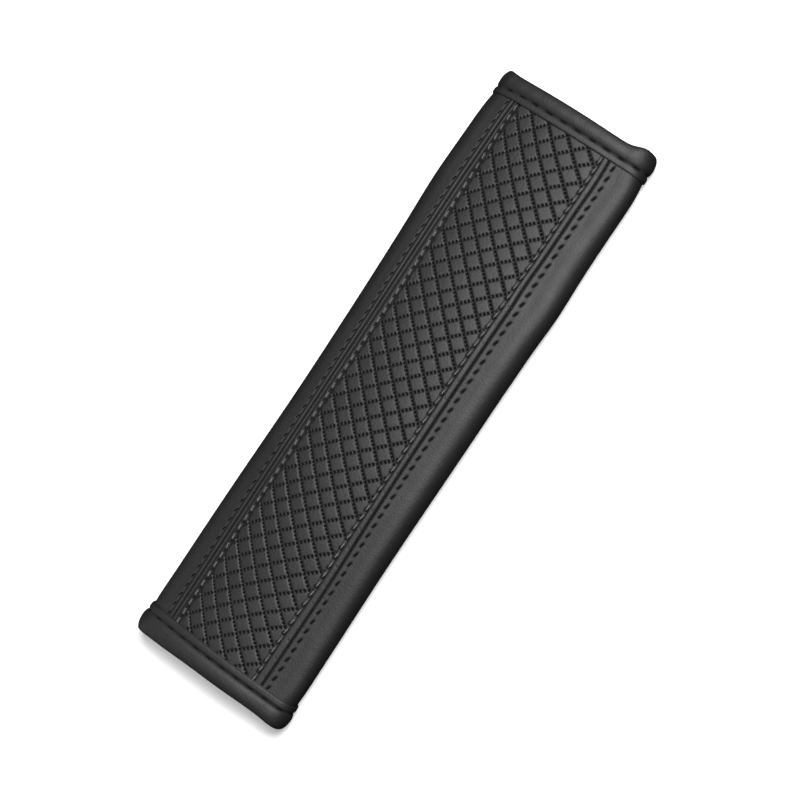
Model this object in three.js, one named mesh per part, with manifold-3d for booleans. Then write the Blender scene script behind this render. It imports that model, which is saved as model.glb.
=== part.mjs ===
// Seat belt shoulder pad: a padded leather sleeve that wraps round a seat belt and closes along its back
// with a hook and loop fastening. Millimetres. It lies on its back: X runs across it, Y along it, +Z is up,
// and Z 0 is the surface that its two end bindings rest on.
import * as THREE from "three";
import { mergeVertices } from "three/addons/utils/BufferGeometryUtils.js";
import Module from "manifold-3d";

const wasm = await Module();
wasm.setup();

// Size of the closed sleeve
const LENGTH = 270; // end to end, over the bindings
const BODY_WIDTH = 74; // across the side panels
const BODY_THICKNESS = 21.5; // from the back's leather to the top of the front
const FRONT_CROWN = 3; // how far the middle of the front stands above its edges

// Layers of the wall, from the outside in
const LEATHER = 1; // side panels
const QUILT = 1.6; // centre panel: leather laminated to its own thin foam
const FOAM = 3.2; // padding, under the side panels
const LINING = 0.6;
const LAYER_GAP = 0.3; // between two layers
const FACET_ERROR = 0.06; // how far a facet may lie inside the curve that it stands for

// Seams between the centre panel and the side panels
const SEAM = 23.6; // from the middle of the front, measured round the curve
const SEAM_GAP = 0.3; // between the two panels' folded edges
const SEAM_DROP = 0.6; // how deep the rounded fold falls into the seam
const SEAM_ROUND = 0.6; // how wide that rounded fold is
const TURN_IN = 4; // width of the allowance that is folded under each panel's edge

// Sewing
const STITCH = 4.5; // length of one stitch in the long rows
const BINDING_STITCH = 7; // length of one stitch in the bindings
const THREAD = 0.22; // radius of the thread
const THREAD_SIDES = 3; // flat sides of a thread
const THREAD_GAP = 0.2; // between the thread and the leather that it is sewn into
const THREAD_ARCH = 0.1; // how far the thread rises in the middle of a stitch
const ROW_INSET = 2.9; // from a seam to the row of stitches beside it
const CHANNEL = 1.6; // width of the channel that a row pulls into the leather
const CHANNEL_DEPTH = 0.5;
const CHANNEL_SLOPE = 0.3; // width of each of its sloping sides

// Diamond quilting of the centre panel
const DIAMOND_WIDTH = 9.1; // corner to corner across the panel
const DIAMOND_LENGTH = 8.9; // corner to corner along it
const GROOVE = 0.7; // half the width of the pressed line between two diamonds
const GROOVE_DEPTH = 0.7;
const DIAMOND_CROWN = 0.15; // how far a diamond's middle stands above its edges

// Closure along the back
const TAPE_WIDTH = 20;
const TAPE = 1.15; // thickness of the hook tape, and of the loop tape
const TAPE_MARGIN = 2; // from a tape's edge to its flap's edge
const TAPE_ROW = 1; // from a tape's edge to the row that sews it down
const TAPE_END_GAP = 2; // from a tape's end to the binding
const FLAP_HEM = 3; // width of the leather folded under at a flap's edge
const FOAM_TO_FLAP = 4; // from the edge of the foam to the edge of the flap that lies over it
const STEP_ANGLE = THREE.MathUtils.degToRad(50); // steepest slope of the step under the inner flap
const STEP_CLEARANCE = 1.3; // from the outer flap's edge to the foot of that step
const LINING_RAMP = 3; // width over which the lining comes down from the foam to the leather

// End bindings
const BINDING_WIDTH = 10; // of the outside leg
const BINDING_INNER_WIDTH = 8; // of the inside leg
const BINDING = 1.1; // thickness of the outside leg
const BINDING_INNER = 0.8; // thickness of the inside leg
const BINDING_INNER_GAP = 0.2; // between the inside leg and the lining
const BINDING_WEB = 1.1; // thickness across the sleeve's end
const BINDING_ROUND = 1.5; // how far the end's rounded edge reaches along the sleeve
const BINDING_ROW = 3.4; // from the outside leg's edge to its row of stitches
const BINDING_DIP = 0.8; // depth of the channel that this row pulls in
const BINDING_LIP = 0.7; // how far the folded lip's rounding reaches

// Sizes that follow
const SIDE_RADIUS = (BODY_THICKNESS - FRONT_CROWN) / 2;
const SIDE_CENTRE = BODY_WIDTH / 2 - SIDE_RADIUS;
const CROWN_ANGLE = 2 * Math.atan(FRONT_CROWN / SIDE_CENTRE);
const CROWN_RADIUS = SIDE_RADIUS + SIDE_CENTRE / Math.sin(CROWN_ANGLE);
const HEM = 2 * LEATHER;
const FOAM_OUT = LEATHER + LAYER_GAP;
const FOAM_OUT_CENTRE = QUILT + LAYER_GAP;
const FOAM_OUT_HEM = HEM + LAYER_GAP;
const FOAM_IN = FOAM_OUT + FOAM;
const LINING_OUT = FOAM_IN + LAYER_GAP;
const WALL = LINING_OUT + LINING;
const FLAP_LINING_OUT = LEATHER + LAYER_GAP;
const FLAP_WALL = FLAP_LINING_OUT + LINING;
const FLAP_INSIDE = Math.max(FLAP_WALL, HEM);
const TAPE_GAP = LAYER_GAP / 2;
const FLAP_RISE = FLAP_WALL + TAPE_GAP + TAPE + LAYER_GAP + TAPE + TAPE_GAP;
const BINDING_OUT = LAYER_GAP + BINDING;
const FLAP_OVERLAP = TAPE_WIDTH + 2 * TAPE_MARGIN;
const STEP_RADIUS = FLAP_RISE / (2 * (1 - Math.cos(STEP_ANGLE)));
const STEP_RUN = 2 * STEP_RADIUS * Math.sin(STEP_ANGLE);
const STEP_FOOT = FLAP_OVERLAP / 2 + STEP_CLEARANCE + STEP_RUN;
const LAYER_END = LENGTH / 2 - BINDING_WEB - LAYER_GAP;
const BODY_TOP = BINDING_OUT + BODY_THICKNESS;

// A curve that starts at the top of the front and follows legs of { length, turn }, turn being the angle
// that a leg bends through, clockwise. Its at(s) gives the place and heading at the distance s.
function makeCurve(legs) {
  const starts = [];
  let at = { s: 0, x: 0, z: BODY_TOP, heading: 0 };
  const along = (from, leg, distance) => {
    const { x, z, heading, s } = from;
    if (!leg.turn) {
      const [dx, dz] = [Math.cos(heading), Math.sin(heading)];
      return { s: s + distance, x: x + dx * distance, z: z + dz * distance, heading };
    }
    const radius = leg.length / leg.turn;
    const now = heading - distance / radius;
    return {
      s: s + distance,
      x: x + radius * (Math.sin(heading) - Math.sin(now)),
      z: z + radius * (Math.cos(now) - Math.cos(heading)),
      heading: now,
    };
  };
  for (const leg of legs) {
    starts.push({ ...at, leg });
    at = along(at, leg, leg.length);
  }
  return {
    length: at.s,
    starts,
    at(s) {
      const from = starts.findLast((start) => start.s <= s) ?? starts[0];
      return along(from, from.leg, s - from.s);
    },
  };
}

// The leather's outside, in two halves from the middle of the front: right to the inner flap's edge,
// and left to the outer flap's edge.
const front = { length: CROWN_RADIUS * CROWN_ANGLE, turn: CROWN_ANGLE };
const side = { length: SIDE_RADIUS * (Math.PI - CROWN_ANGLE), turn: Math.PI - CROWN_ANGLE };
const stepLength = STEP_RADIUS * STEP_ANGLE;
const rightHalf = makeCurve([
  front,
  side,
  { length: SIDE_CENTRE - STEP_FOOT, turn: 0 },
  { length: stepLength, turn: STEP_ANGLE },
  { length: stepLength, turn: -STEP_ANGLE },
  { length: FLAP_OVERLAP + STEP_CLEARANCE, turn: 0 },
]);
const leftHalf = makeCurve([front, side, { length: SIDE_CENTRE + FLAP_OVERLAP / 2, turn: 0 }]);

// Distances round the curve, positive to the right of the middle of the front and negative to its left
const BACK_START = front.length + side.length;
const RIGHT_STEP = rightHalf.starts[3].s;
const RIGHT_TIP = rightHalf.length;
const LEFT_TIP = -leftHalf.length;
const onOuterFlap = (x) => -(BACK_START + SIDE_CENTRE + x);
const onInnerFlap = (x) => RIGHT_TIP - FLAP_OVERLAP / 2 - x;
const LEFT_FOAM_EDGE = onOuterFlap(-FLAP_OVERLAP / 2 - FOAM_TO_FLAP);

// The point at distance s round the curve and a depth of inset inside it
function onWall(s, inset) {
  const { x, z, heading } = s < 0 ? leftHalf.at(-s) : rightHalf.at(s);
  const mirror = s < 0 ? -1 : 1;
  return new THREE.Vector2(
    mirror * (x + inset * Math.sin(heading)),
    z - inset * Math.cos(heading),
  );
}

// The places between two distances where the curve needs a corner: its joints, and steps along its arcs
function cornersBetween(from, to) {
  const corners = [0];
  for (const [half, sign] of [[rightHalf, 1], [leftHalf, -1]]) {
    for (const { s, leg } of half.starts) {
      const radius = Math.abs(leg.length / (leg.turn || Infinity));
      const step = leg.turn ? Math.sqrt(8 * radius * FACET_ERROR) : leg.length;
      const count = Math.ceil(leg.length / step);
      for (let i = 1; i <= count; i++) corners.push(sign * (s + (i * leg.length) / count));
    }
  }
  const [low, high] = [Math.min(from, to), Math.max(from, to)];
  const apart = 0.05; // closer than this, a corner is left to its neighbour
  const inside = corners.filter((s) => s > low + apart && s < high - apart);
  return inside.sort((a, b) => (from < to ? a - b : b - a));
}

// A line round the wall through knots of [distance, inset], with the curve's corners between them
function wallLine(knots) {
  const points = [onWall(...knots[0])];
  for (let i = 1; i < knots.length; i++) {
    const [[s0, inset0], [s1, inset1]] = [knots[i - 1], knots[i]];
    for (const s of cornersBetween(s0, s1)) {
      points.push(onWall(s, inset0 + ((inset1 - inset0) * (s - s0)) / (s1 - s0)));
    }
    points.push(onWall(s1, inset1));
  }
  return points;
}

// A section in X and Z, drawn out along Y from one end to the other
function drawOut(points, yFrom, yTo) {
  const geometry = new THREE.ExtrudeGeometry(new THREE.Shape(points), {
    depth: yTo - yFrom,
    bevelEnabled: false,
  });
  return geometry.rotateX(Math.PI / 2).translate(0, yTo, 0);
}

// A layer of the wall between its outside line and its inside line
function layer(outside, inside, halfLength = LAYER_END) {
  return drawOut([...wallLine(outside), ...wallLine(inside).reverse()], -halfLength, halfLength);
}

function solidOf(geometry) {
  const bare = geometry.index ? geometry.toNonIndexed() : geometry.clone();
  bare.deleteAttribute("normal");
  bare.deleteAttribute("uv");
  const merged = mergeVertices(bare, 1e-4);
  return new wasm.Manifold(
    new wasm.Mesh({
      numProp: 3,
      vertProperties: merged.attributes.position.array,
      triVerts: new Uint32Array(merged.index.array),
    }),
  );
}

function geometryOf(solid) {
  const mesh = solid.getMesh();
  const geometry = new THREE.BufferGeometry();
  geometry.setAttribute("position", new THREE.BufferAttribute(mesh.vertProperties, 3));
  geometry.setIndex(new THREE.BufferAttribute(mesh.triVerts, 1));
  geometry.computeVertexNormals();
  return geometry;
}

// Knots of a channel that a row of stitches pulls into a face, walked from low s to high s
function channelKnots(row, depth = CHANNEL_DEPTH) {
  const half = CHANNEL / 2;
  return [
    [row - half, 0],
    [row - half + CHANNEL_SLOPE, depth],
    [row + half - CHANNEL_SLOPE, depth],
    [row + half, 0],
  ];
}

// The same knots on the other half, still in rising order of s
const mirrored = (knots) => knots.map(([s, inset]) => [-s, inset]).reverse();

// Centre panel: pressed leather. Each diamond is a raised middle with sloping sides down to the lines.
function diamondPlate(halfWidth, halfLength) {
  const [hx, hy] = [DIAMOND_WIDTH / 2, DIAMOND_LENGTH / 2];
  const [nx, ny] = [Math.ceil(halfWidth / hx) + 1, Math.ceil(halfLength / hy) + 1];
  const top = 1 - (GROOVE * Math.SQRT2) / Math.min(hx, hy);
  const positions = [];
  const place = (i, j, inset) => {
    const { x, y } = onWall(i * hx, inset);
    return [x, j * hy, y];
  };
  const face = (...corners) => {
    for (let k = 2; k < corners.length; k++) {
      positions.push(...corners[0], ...corners[k - 1], ...corners[k]);
    }
  };
  const sides = new Map();
  for (let i = -nx; i <= nx; i++) {
    for (let j = -ny; j <= ny; j++) {
      if ((i + j) % 2 === 0) continue; // a crossing of two lines, not a diamond's middle
      const around = [[1, 0], [0, 1], [-1, 0], [0, -1]];
      const middle = place(i, j, 0);
      const outline = around.map(([a, b]) => [i + a, j + b]);
      const raised = around.map(([a, b]) => place(i + a * top, j + b * top, DIAMOND_CROWN));
      const low = outline.map(([a, b]) => place(a, b, GROOVE_DEPTH));
      const under = outline.map(([a, b]) => place(a, b, QUILT));
      around.forEach((_, k) => {
        const next = (k + 1) % around.length;
        face(middle, raised[k], raised[next]);
        face(raised[k], low[k], low[next], raised[next]);
        sides.set(`${outline[k]}|${outline[next]}`, [low[k], low[next], under[k], under[next]]);
      });
      face(under[0], under[3], under[2], under[1]);
    }
  }
  for (const [key, [lowA, lowB, underA, underB]] of sides) {
    const [a, b] = key.split("|");
    if (!sides.has(`${b}|${a}`)) face(underA, underB, lowB, lowA);
  }
  const geometry = new THREE.BufferGeometry();
  geometry.setAttribute("position", new THREE.Float32BufferAttribute(positions, 3));
  return geometry;
}

function centrePanel() {
  const row = SEAM - ROW_INSET;
  const quiltEdge = row - CHANNEL / 2;
  const join = 0.2; // how far the plain edge strip reaches under the quilting
  const trim = [-1, 1].map((sign) => [
    onWall(sign * quiltEdge, -FOAM),
    onWall(sign * quiltEdge, WALL),
  ]);
  const window = drawOut([trim[0][1], trim[1][1], trim[1][0], trim[0][0]], -LAYER_END, LAYER_END);
  const quilting = solidOf(diamondPlate(quiltEdge, LAYER_END)).intersect(solidOf(window));
  const edge = SEAM - SEAM_GAP / 2;
  const outside = [
    [quiltEdge - join, CHANNEL_DEPTH],
    [quiltEdge, CHANNEL_DEPTH],
    [row + CHANNEL / 2 - CHANNEL_SLOPE, CHANNEL_DEPTH],
    [row + CHANNEL / 2, 0],
    [edge - SEAM_ROUND, 0],
    [edge, SEAM_DROP],
  ];
  const inside = [[quiltEdge - join, HEM], [edge, HEM]];
  const right = solidOf(layer(outside, inside));
  const left = solidOf(layer(mirrored(outside), mirrored(inside)));
  return geometryOf(quilting.add(right).add(left));
}

// Right side panel: from the seam round the side, up the step and along the inner flap
function rightSidePanel() {
  const edge = SEAM + SEAM_GAP / 2;
  return layer(
    [
      [edge, SEAM_DROP],
      [edge + SEAM_ROUND, 0],
      ...channelKnots(SEAM + ROW_INSET),
      [RIGHT_TIP, 0],
    ],
    [
      [edge, HEM],
      [SEAM + TURN_IN, HEM],
      [SEAM + TURN_IN, LEATHER],
      [RIGHT_TIP - FLAP_HEM, LEATHER],
      [RIGHT_TIP - FLAP_HEM, HEM],
      [RIGHT_TIP, HEM],
    ],
  );
}

const hookTapeRows = [-1, 1].map((sign) => onOuterFlap(sign * (TAPE_WIDTH / 2 - TAPE_ROW)));
const loopTapeRows = [-1, 1].map((sign) => onInnerFlap(sign * (TAPE_WIDTH / 2 - TAPE_ROW)));

// Left side panel: from the outer flap's edge round the side to the seam
function leftSidePanel() {
  const edge = -SEAM - SEAM_GAP / 2;
  const rows = [...hookTapeRows].sort((a, b) => a - b);
  return layer(
    [
      [LEFT_TIP, 0],
      ...rows.flatMap((row) => channelKnots(row)),
      ...channelKnots(-SEAM - ROW_INSET),
      [edge - SEAM_ROUND, 0],
      [edge, SEAM_DROP],
    ],
    [
      [LEFT_TIP, HEM],
      [LEFT_TIP + FLAP_HEM, HEM],
      [LEFT_TIP + FLAP_HEM, LEATHER],
      [-SEAM - TURN_IN, LEATHER],
      [-SEAM - TURN_IN, HEM],
      [edge, HEM],
    ],
  );
}

// Foam: one sheet across the front and round both sides, thinner under the seams' folded allowances
function foamPad() {
  const [inner, outer] = [SEAM - TURN_IN - LAYER_GAP, SEAM + TURN_IN + LAYER_GAP];
  const half = [
    [inner, FOAM_OUT_CENTRE],
    [inner, FOAM_OUT_HEM],
    [outer, FOAM_OUT_HEM],
    [outer, FOAM_OUT],
  ];
  return layer(
    [[LEFT_FOAM_EDGE, FOAM_OUT], ...mirrored(half), ...half, [RIGHT_STEP, FOAM_OUT]],
    [[LEFT_FOAM_EDGE, FOAM_IN], [RIGHT_STEP, FOAM_IN]],
  );
}

// How deep a line lies that covers the foam and comes down beyond the foam's two edges
function overFoam(deep, shallow, leftEnd, rightEnd) {
  return [
    [leftEnd, shallow],
    [LEFT_FOAM_EDGE - LAYER_GAP - LINING_RAMP, shallow],
    [LEFT_FOAM_EDGE - LAYER_GAP, deep],
    [RIGHT_STEP + LAYER_GAP, deep],
    [RIGHT_STEP + LAYER_GAP + LINING_RAMP, shallow],
    [rightEnd, shallow],
  ];
}

function liningSheet() {
  const hemClear = FLAP_HEM + LAYER_GAP;
  const ends = [LEFT_TIP + hemClear, RIGHT_TIP - hemClear];
  return layer(
    overFoam(LINING_OUT, FLAP_LINING_OUT, ...ends),
    overFoam(WALL, FLAP_WALL, ...ends),
  );
}

// Hook tape inside the outer flap, and loop tape outside the inner flap
function tape(place, inset) {
  const edges = [place(TAPE_WIDTH / 2), place(-TAPE_WIDTH / 2)].sort((a, b) => a - b);
  return layer(
    edges.map((s) => [s, inset]),
    edges.map((s) => [s, inset + TAPE]),
    LENGTH / 2 - BINDING_WIDTH - TAPE_END_GAP,
  );
}

// End binding: a strip of leather folded over the sleeve's end, from one flap's edge to the other.
// Its fold is a U of [depth into the wall, distance from the end], carried round the wall.
function bindingFold(wall) {
  const [top, under] = [-BINDING_OUT, wall + BINDING_INNER_GAP + BINDING_INNER];
  const rowAt = BINDING_WIDTH - BINDING_ROW;
  return [
    [-LAYER_GAP, BINDING_WIDTH],
    [top + BINDING_LIP / 2, BINDING_WIDTH],
    [top, BINDING_WIDTH - BINDING_LIP],
    [top, rowAt + CHANNEL / 2],
    [top + BINDING_DIP, rowAt],
    [top, rowAt - CHANNEL / 2],
    [top, BINDING_ROUND],
    [top + BINDING_ROUND / 3, BINDING_ROUND / 3],
    [top + BINDING_ROUND, 0],
    [under - BINDING_ROUND, 0],
    [under - BINDING_ROUND / 3, BINDING_ROUND / 3],
    [under, BINDING_ROUND],
    [under, BINDING_INNER_WIDTH],
    [under - BINDING_INNER, BINDING_INNER_WIDTH],
    [under - BINDING_INNER, BINDING_WEB],
    [-LAYER_GAP, BINDING_WEB],
  ];
}

function endBinding(sign) {
  const depths = overFoam(WALL, FLAP_INSIDE, LEFT_TIP, RIGHT_TIP);
  const stations = depths.flatMap(([s, wall], k) => {
    const [s0, wall0] = depths[k - 1] ?? [s, wall];
    const between = cornersBetween(s0, s).map((at) => [
      at,
      wall0 + ((wall - wall0) * (at - s0)) / (s - s0),
    ]);
    return [...(k ? between : []), [s, wall]];
  });
  const rings = stations.map(([s, wall]) =>
    bindingFold(wall).map(([inset, fromEnd]) => {
      const { x, y } = onWall(s, inset);
      return [x, sign * (LENGTH / 2 - fromEnd), y];
    }),
  );
  const positions = [];
  const triangle = (a, b, c) => positions.push(...(sign > 0 ? [a, c, b] : [a, b, c]).flat());
  for (let i = 1; i < rings.length; i++) {
    const [from, to] = [rings[i - 1], rings[i]];
    from.forEach((_, k) => {
      const next = (k + 1) % from.length;
      triangle(from[k], to[next], to[k]);
      triangle(from[k], from[next], to[next]);
    });
  }
  const flat = bindingFold(FLAP_INSIDE).map((point) => new THREE.Vector2(...point));
  for (const [a, b, c] of THREE.ShapeUtils.triangulateShape(flat, [])) {
    const [first, last] = [rings[0], rings.at(-1)];
    triangle(first[a], first[c], first[b]);
    triangle(last[a], last[b], last[c]);
  }
  const geometry = new THREE.BufferGeometry();
  geometry.setAttribute("position", new THREE.Float32BufferAttribute(positions, 3));
  geometry.computeVertexNormals();
  return geometry;
}

// One sewing thread: it lies along a line and arches up once in each stitch. The line is a function of
// the share of the way along it and the thread's height above the channel's bed.
class ThreadLine extends THREE.Curve {
  constructor(line, stitches) {
    super();
    this.line = line;
    this.stitches = stitches;
  }

  getPoint(t, target = new THREE.Vector3()) {
    const phase = (t * this.stitches) % 1;
    const rise = 1 - Math.abs(2 * phase - 1);
    return target.copy(this.line(t, THREAD_GAP + THREAD + THREAD_ARCH * rise));
  }
}

function thread(line, length, stitch) {
  const stitches = Math.max(2, Math.round(length / stitch));
  const around = Array.from({ length: THREAD_SIDES }, (_, k) => (k * 2 * Math.PI) / THREAD_SIDES);
  const section = around.map((a) => new THREE.Vector2(Math.cos(a), Math.sin(a)).multiplyScalar(THREAD));
  return new THREE.ExtrudeGeometry(new THREE.Shape(section), {
    steps: 2 * stitches,
    extrudePath: new ThreadLine(line, stitches),
  });
}

// A row along the sleeve at distance s, lying above the given depth in the wall. A thread on the
// lining's side lies on the other face of the wall.
function longRow(s, bed, facing = 1) {
  const reach = LENGTH / 2 - BINDING_WIDTH - TAPE_END_GAP;
  const line = (t, height) => {
    const { x, y } = onWall(s, bed - facing * height);
    return new THREE.Vector3(x, THREE.MathUtils.lerp(-reach, reach, t), y);
  };
  return thread(line, 2 * reach, STITCH);
}

// A row round the binding's outside, from one flap to the other
function bindingRow(sign) {
  const [from, to] = [LEFT_TIP + FLAP_HEM, RIGHT_TIP - FLAP_HEM];
  const yRow = sign * (LENGTH / 2 - BINDING_WIDTH + BINDING_ROW);
  const bed = BINDING_DIP - BINDING_OUT;
  const line = (t, height) => {
    const { x, y } = onWall(THREE.MathUtils.lerp(from, to, t), bed - height);
    return new THREE.Vector3(x, yRow, y);
  };
  return thread(line, to - from, BINDING_STITCH);
}

const finish = (color, roughness) =>
  new THREE.MeshStandardMaterial({ color, roughness, metalness: 0 });
const leather = finish(0x3c3c3e, 0.55);
const quilted = finish(0x424243, 0.6);
const foam = finish(0x2a2a2c, 0.95);
const cloth = finish(0x161617, 0.9);
const tapeFinish = finish(0x0d0d0e, 0.95);
const threadFinish = finish(0x1a1a1b, 0.45);

const pad = new THREE.Group();
function add(name, geometry, material) {
  const mesh = new THREE.Mesh(geometry, material);
  mesh.name = name;
  pad.add(mesh);
}

add("quilted_centre_panel", centrePanel(), quilted);
add("left_side_panel", leftSidePanel(), leather);
add("right_side_panel", rightSidePanel(), leather);
add("foam_pad", foamPad(), foam);
add("lining", liningSheet(), cloth);
add("top_end_binding", endBinding(1), leather);
add("bottom_end_binding", endBinding(-1), leather);
add("hook_tape", tape(onOuterFlap, FLAP_WALL + TAPE_GAP), tapeFinish);
add("loop_tape", tape(onInnerFlap, -TAPE_GAP - TAPE), tapeFinish);

const seamRow = SEAM + ROW_INSET;
const panelRow = SEAM - ROW_INSET;
add("left_side_topstitch", longRow(-seamRow, CHANNEL_DEPTH), threadFinish);
add("left_panel_topstitch", longRow(-panelRow, CHANNEL_DEPTH), threadFinish);
add("right_panel_topstitch", longRow(panelRow, CHANNEL_DEPTH), threadFinish);
add("right_side_topstitch", longRow(seamRow, CHANNEL_DEPTH), threadFinish);
add("hook_tape_stitch_left", longRow(hookTapeRows[0], CHANNEL_DEPTH), threadFinish);
add("hook_tape_stitch_right", longRow(hookTapeRows[1], CHANNEL_DEPTH), threadFinish);
add("loop_tape_stitch_left", longRow(loopTapeRows[0], FLAP_WALL, -1), threadFinish);
add("loop_tape_stitch_right", longRow(loopTapeRows[1], FLAP_WALL, -1), threadFinish);
add("top_binding_stitch", bindingRow(1), threadFinish);
add("bottom_binding_stitch", bindingRow(-1), threadFinish);

export default pad;
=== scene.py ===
"""Seat belt shoulder pad in charcoal leather, for Blender 4.5.

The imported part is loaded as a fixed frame, and every soft piece is worked out again with its folds,
stitches and surface. Sizes are in millimetres until a mesh is made, which is in metres.

A place on the sleeve is given by three numbers: s, the distance round its outside from the middle of the
front, positive towards the right; y, the distance along it; and inset, the depth below its outside.
"""

import functools
import math

import bpy
import numpy as np
from bpy.props import FloatProperty, FloatVectorProperty, PointerProperty
from mathutils import Matrix, Vector


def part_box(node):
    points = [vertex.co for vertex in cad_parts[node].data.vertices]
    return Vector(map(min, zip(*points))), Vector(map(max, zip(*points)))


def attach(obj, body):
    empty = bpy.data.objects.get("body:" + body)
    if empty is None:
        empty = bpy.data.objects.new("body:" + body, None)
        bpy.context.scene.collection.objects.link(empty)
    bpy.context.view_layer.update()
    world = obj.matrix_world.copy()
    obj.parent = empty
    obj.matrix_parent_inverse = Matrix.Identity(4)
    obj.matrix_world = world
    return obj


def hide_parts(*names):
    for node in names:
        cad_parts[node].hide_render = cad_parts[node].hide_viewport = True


bl_info = {
    "name": "Seat Belt Shoulder Pad",
    "version": (1, 0, 0),
    "blender": (4, 5, 0),
    "location": "View3D > Sidebar > Shoulder Pad",
    "description": "Leather, padding, tapes and stitches of a seat belt shoulder pad",
    "category": "Add Mesh",
}

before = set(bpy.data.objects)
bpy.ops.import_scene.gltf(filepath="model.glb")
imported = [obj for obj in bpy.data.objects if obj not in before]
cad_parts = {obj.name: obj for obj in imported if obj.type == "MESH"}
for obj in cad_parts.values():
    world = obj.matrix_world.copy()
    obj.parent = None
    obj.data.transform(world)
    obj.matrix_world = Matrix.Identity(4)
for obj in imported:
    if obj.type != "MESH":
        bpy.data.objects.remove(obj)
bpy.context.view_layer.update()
MM = 0.001


def box_mm(node):
    """Lowest and highest corner of a node of the frame, in millimetres."""
    low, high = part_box(node)
    return np.array(low) / MM, np.array(high) / MM


LEFT_LOW, LEFT_HIGH = box_mm("left_side_panel")
RIGHT_HIGH = box_mm("right_side_panel")[1]
CENTRE_HIGH = box_mm("quilted_centre_panel")[1]
HOOK_LOW, HOOK_HIGH = box_mm("hook_tape")
BINDING_HIGH = box_mm("top_end_binding")[1]

# The closed sleeve
LENGTH = 2 * BINDING_HIGH[1]
WIDTH = RIGHT_HIGH[0] - LEFT_LOW[0]
BACK = LEFT_LOW[2]
TOP = CENTRE_HIGH[2]
CROWN = 3.0
LAYER_END = LEFT_HIGH[1]
TIP = LEFT_HIGH[0]

# Layers of the wall
LEATHER = 1.0
HEM = 2 * LEATHER
HEM_WIDTH = 3.0
QUILT = 1.6
LAYER_GAP = 0.3
FOAM = 3.2
LINING = 0.6
FOAM_OUT = LEATHER + LAYER_GAP
FOAM_IN = FOAM_OUT + FOAM
LINING_OUT = FOAM_IN + LAYER_GAP
WALL = LINING_OUT + LINING
FLAP_LINING_OUT = LEATHER + LAYER_GAP
FLAP_WALL = FLAP_LINING_OUT + LINING
TAPE = HOOK_HIGH[2] - HOOK_LOW[2]
TAPE_HALF = (HOOK_HIGH[0] - HOOK_LOW[0]) / 2
TAPE_END = HOOK_HIGH[1]
TAPE_GAP = LAYER_GAP / 2
TAPE_ROW = 1.0
RISE = FLAP_WALL + 2 * TAPE + LAYER_GAP + 2 * TAPE_GAP

# The step under the inner flap
STEP_ANGLE = math.radians(50)
STEP_CLEARANCE = 1.3
STEP_RADIUS = RISE / (2 * (1 - math.cos(STEP_ANGLE)))
STEP_FOOT = TIP + STEP_CLEARANCE + 2 * STEP_RADIUS * math.sin(STEP_ANGLE)
LINING_RAMP = 3.0
FOAM_TO_FLAP = 4.0

# Seams and rows of stitches, as distances round the front
SEAM = 23.6
SEAM_HALF_GAP = 0.12
LEFT_PANEL_ROW = 19.25
RIGHT_PANEL_ROW = 20.15
SIDE_ROW = 26.4
QUILT_LEFT = 18.6
QUILT_RIGHT = 19.6
# The depth of a crease at which the painted shade in it is full
FULL_CREASE_SHADE = 0.4

# The fall of a folded edge into its seam: how wide and how deep
FALL_WIDTH, FALL_DEPTH = 0.8, 1.0
# Narrow places beside the quilting: depth of the sharp line left and right, of the line where the
# quilting ends on the right, and of the row's holes, whose radius is given left and right
SHARP_LEFT, SHARP_RIGHT = 0.7, 0.45
QUILT_END = 0.2
HOLE_DEPTH = 1.2
HOLE_LEFT, HOLE_RIGHT = 0.88, 0.7
# The valley on the centre panel's left fold, and the one on the left side panel
PANEL_VALLEY, SIDE_VALLEY = 0.6, 0.6
# The shallow channel of the centre panel's rows, and the small creases across its folds
PANEL_CHANNEL, SMALL_CREASE = 0.25, 0.16
# How high the folds beside the seams stand: centre panel's left and right, side panels' left and right
PANEL_FOLD_LEFT, PANEL_FOLD_RIGHT = 0.28, 0.3
SIDE_FOLD_LEFT, SIDE_FOLD_RIGHT = 0.24, 0.13
# Channel and dimples of the right side's row, and dimples of the left side's and of the tapes' rows
SIDE_CHANNEL = 0.05
RIGHT_SLOT, RIGHT_SLOT_HALF_WIDTH = 0.95, 0.36
LEFT_SLOT, TAPE_SLOT = 0.22, 0.5

# How far the sewn rows stray outwards at places along the sleeve, and how far the right seam does
STRAY_LEFT_AT = (-114, -78, -62, -42, -30, -12, 6, 30, 50, 66, 78, 90, 102, 114)
STRAY_LEFT = (1.2, 1.15, 0.7, 0.55, 0.85, 0.8, 0.55, 0.05, 0.05, 0.45, 0.95, 1.3, 1.75, 2.2)
STRAY_RIGHT_AT = (-102, -78, -54, -42, -18, 6, 30, 54, 70, 90, 114)
STRAY_RIGHT = (-0.5, 0, 0, 0.3, 0.3, 0, 0, 0.2, 0.5, 0.3, 0.2)

# End bindings
BINDING_INNER = 0.8
BINDING_INNER_GAP = 0.2
BINDING_INNER_WIDTH = 8.0
BINDING_WEB = 1.1
END_WIDTH = {"top": 9.7, "bottom": 11.0}
LIP = {"top": 3.0, "bottom": 3.25}
BINDING_FIRST = -0.3
END_DROOP = {"top": 1.6, "bottom": 0.0}
DASH = {"top": 0.4, "bottom": 0.12}
SEWN_LINE = {"top": 0.2, "bottom": 0.32}
# How far the lip sinks in beside the rolled sides, and how far the puffed part stands out between stitches
LIP_SINK, PUFF = 0.45, 0.06

# The pressed lattice: where its middle lies in millimetres, and its grooves, pits and shoulders
LATTICE_MIDDLE = (0.45, -3.47)
GROOVE_HALF = 1.08
PITS = 4
PIT_DEPTH = 0.55
PIT_WIDTH = 0.45
PIT_LENGTH = 0.58
FLAT_LINES = 0.45
PIT_CONE = 0.7
SHOULDER, SHOULDER_FROM, SHOULDER_TO = 0.07, 0.4, 1.05
ROW_SLOPE, ROW_SLOPE_FROM = 0.03, -13
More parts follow.
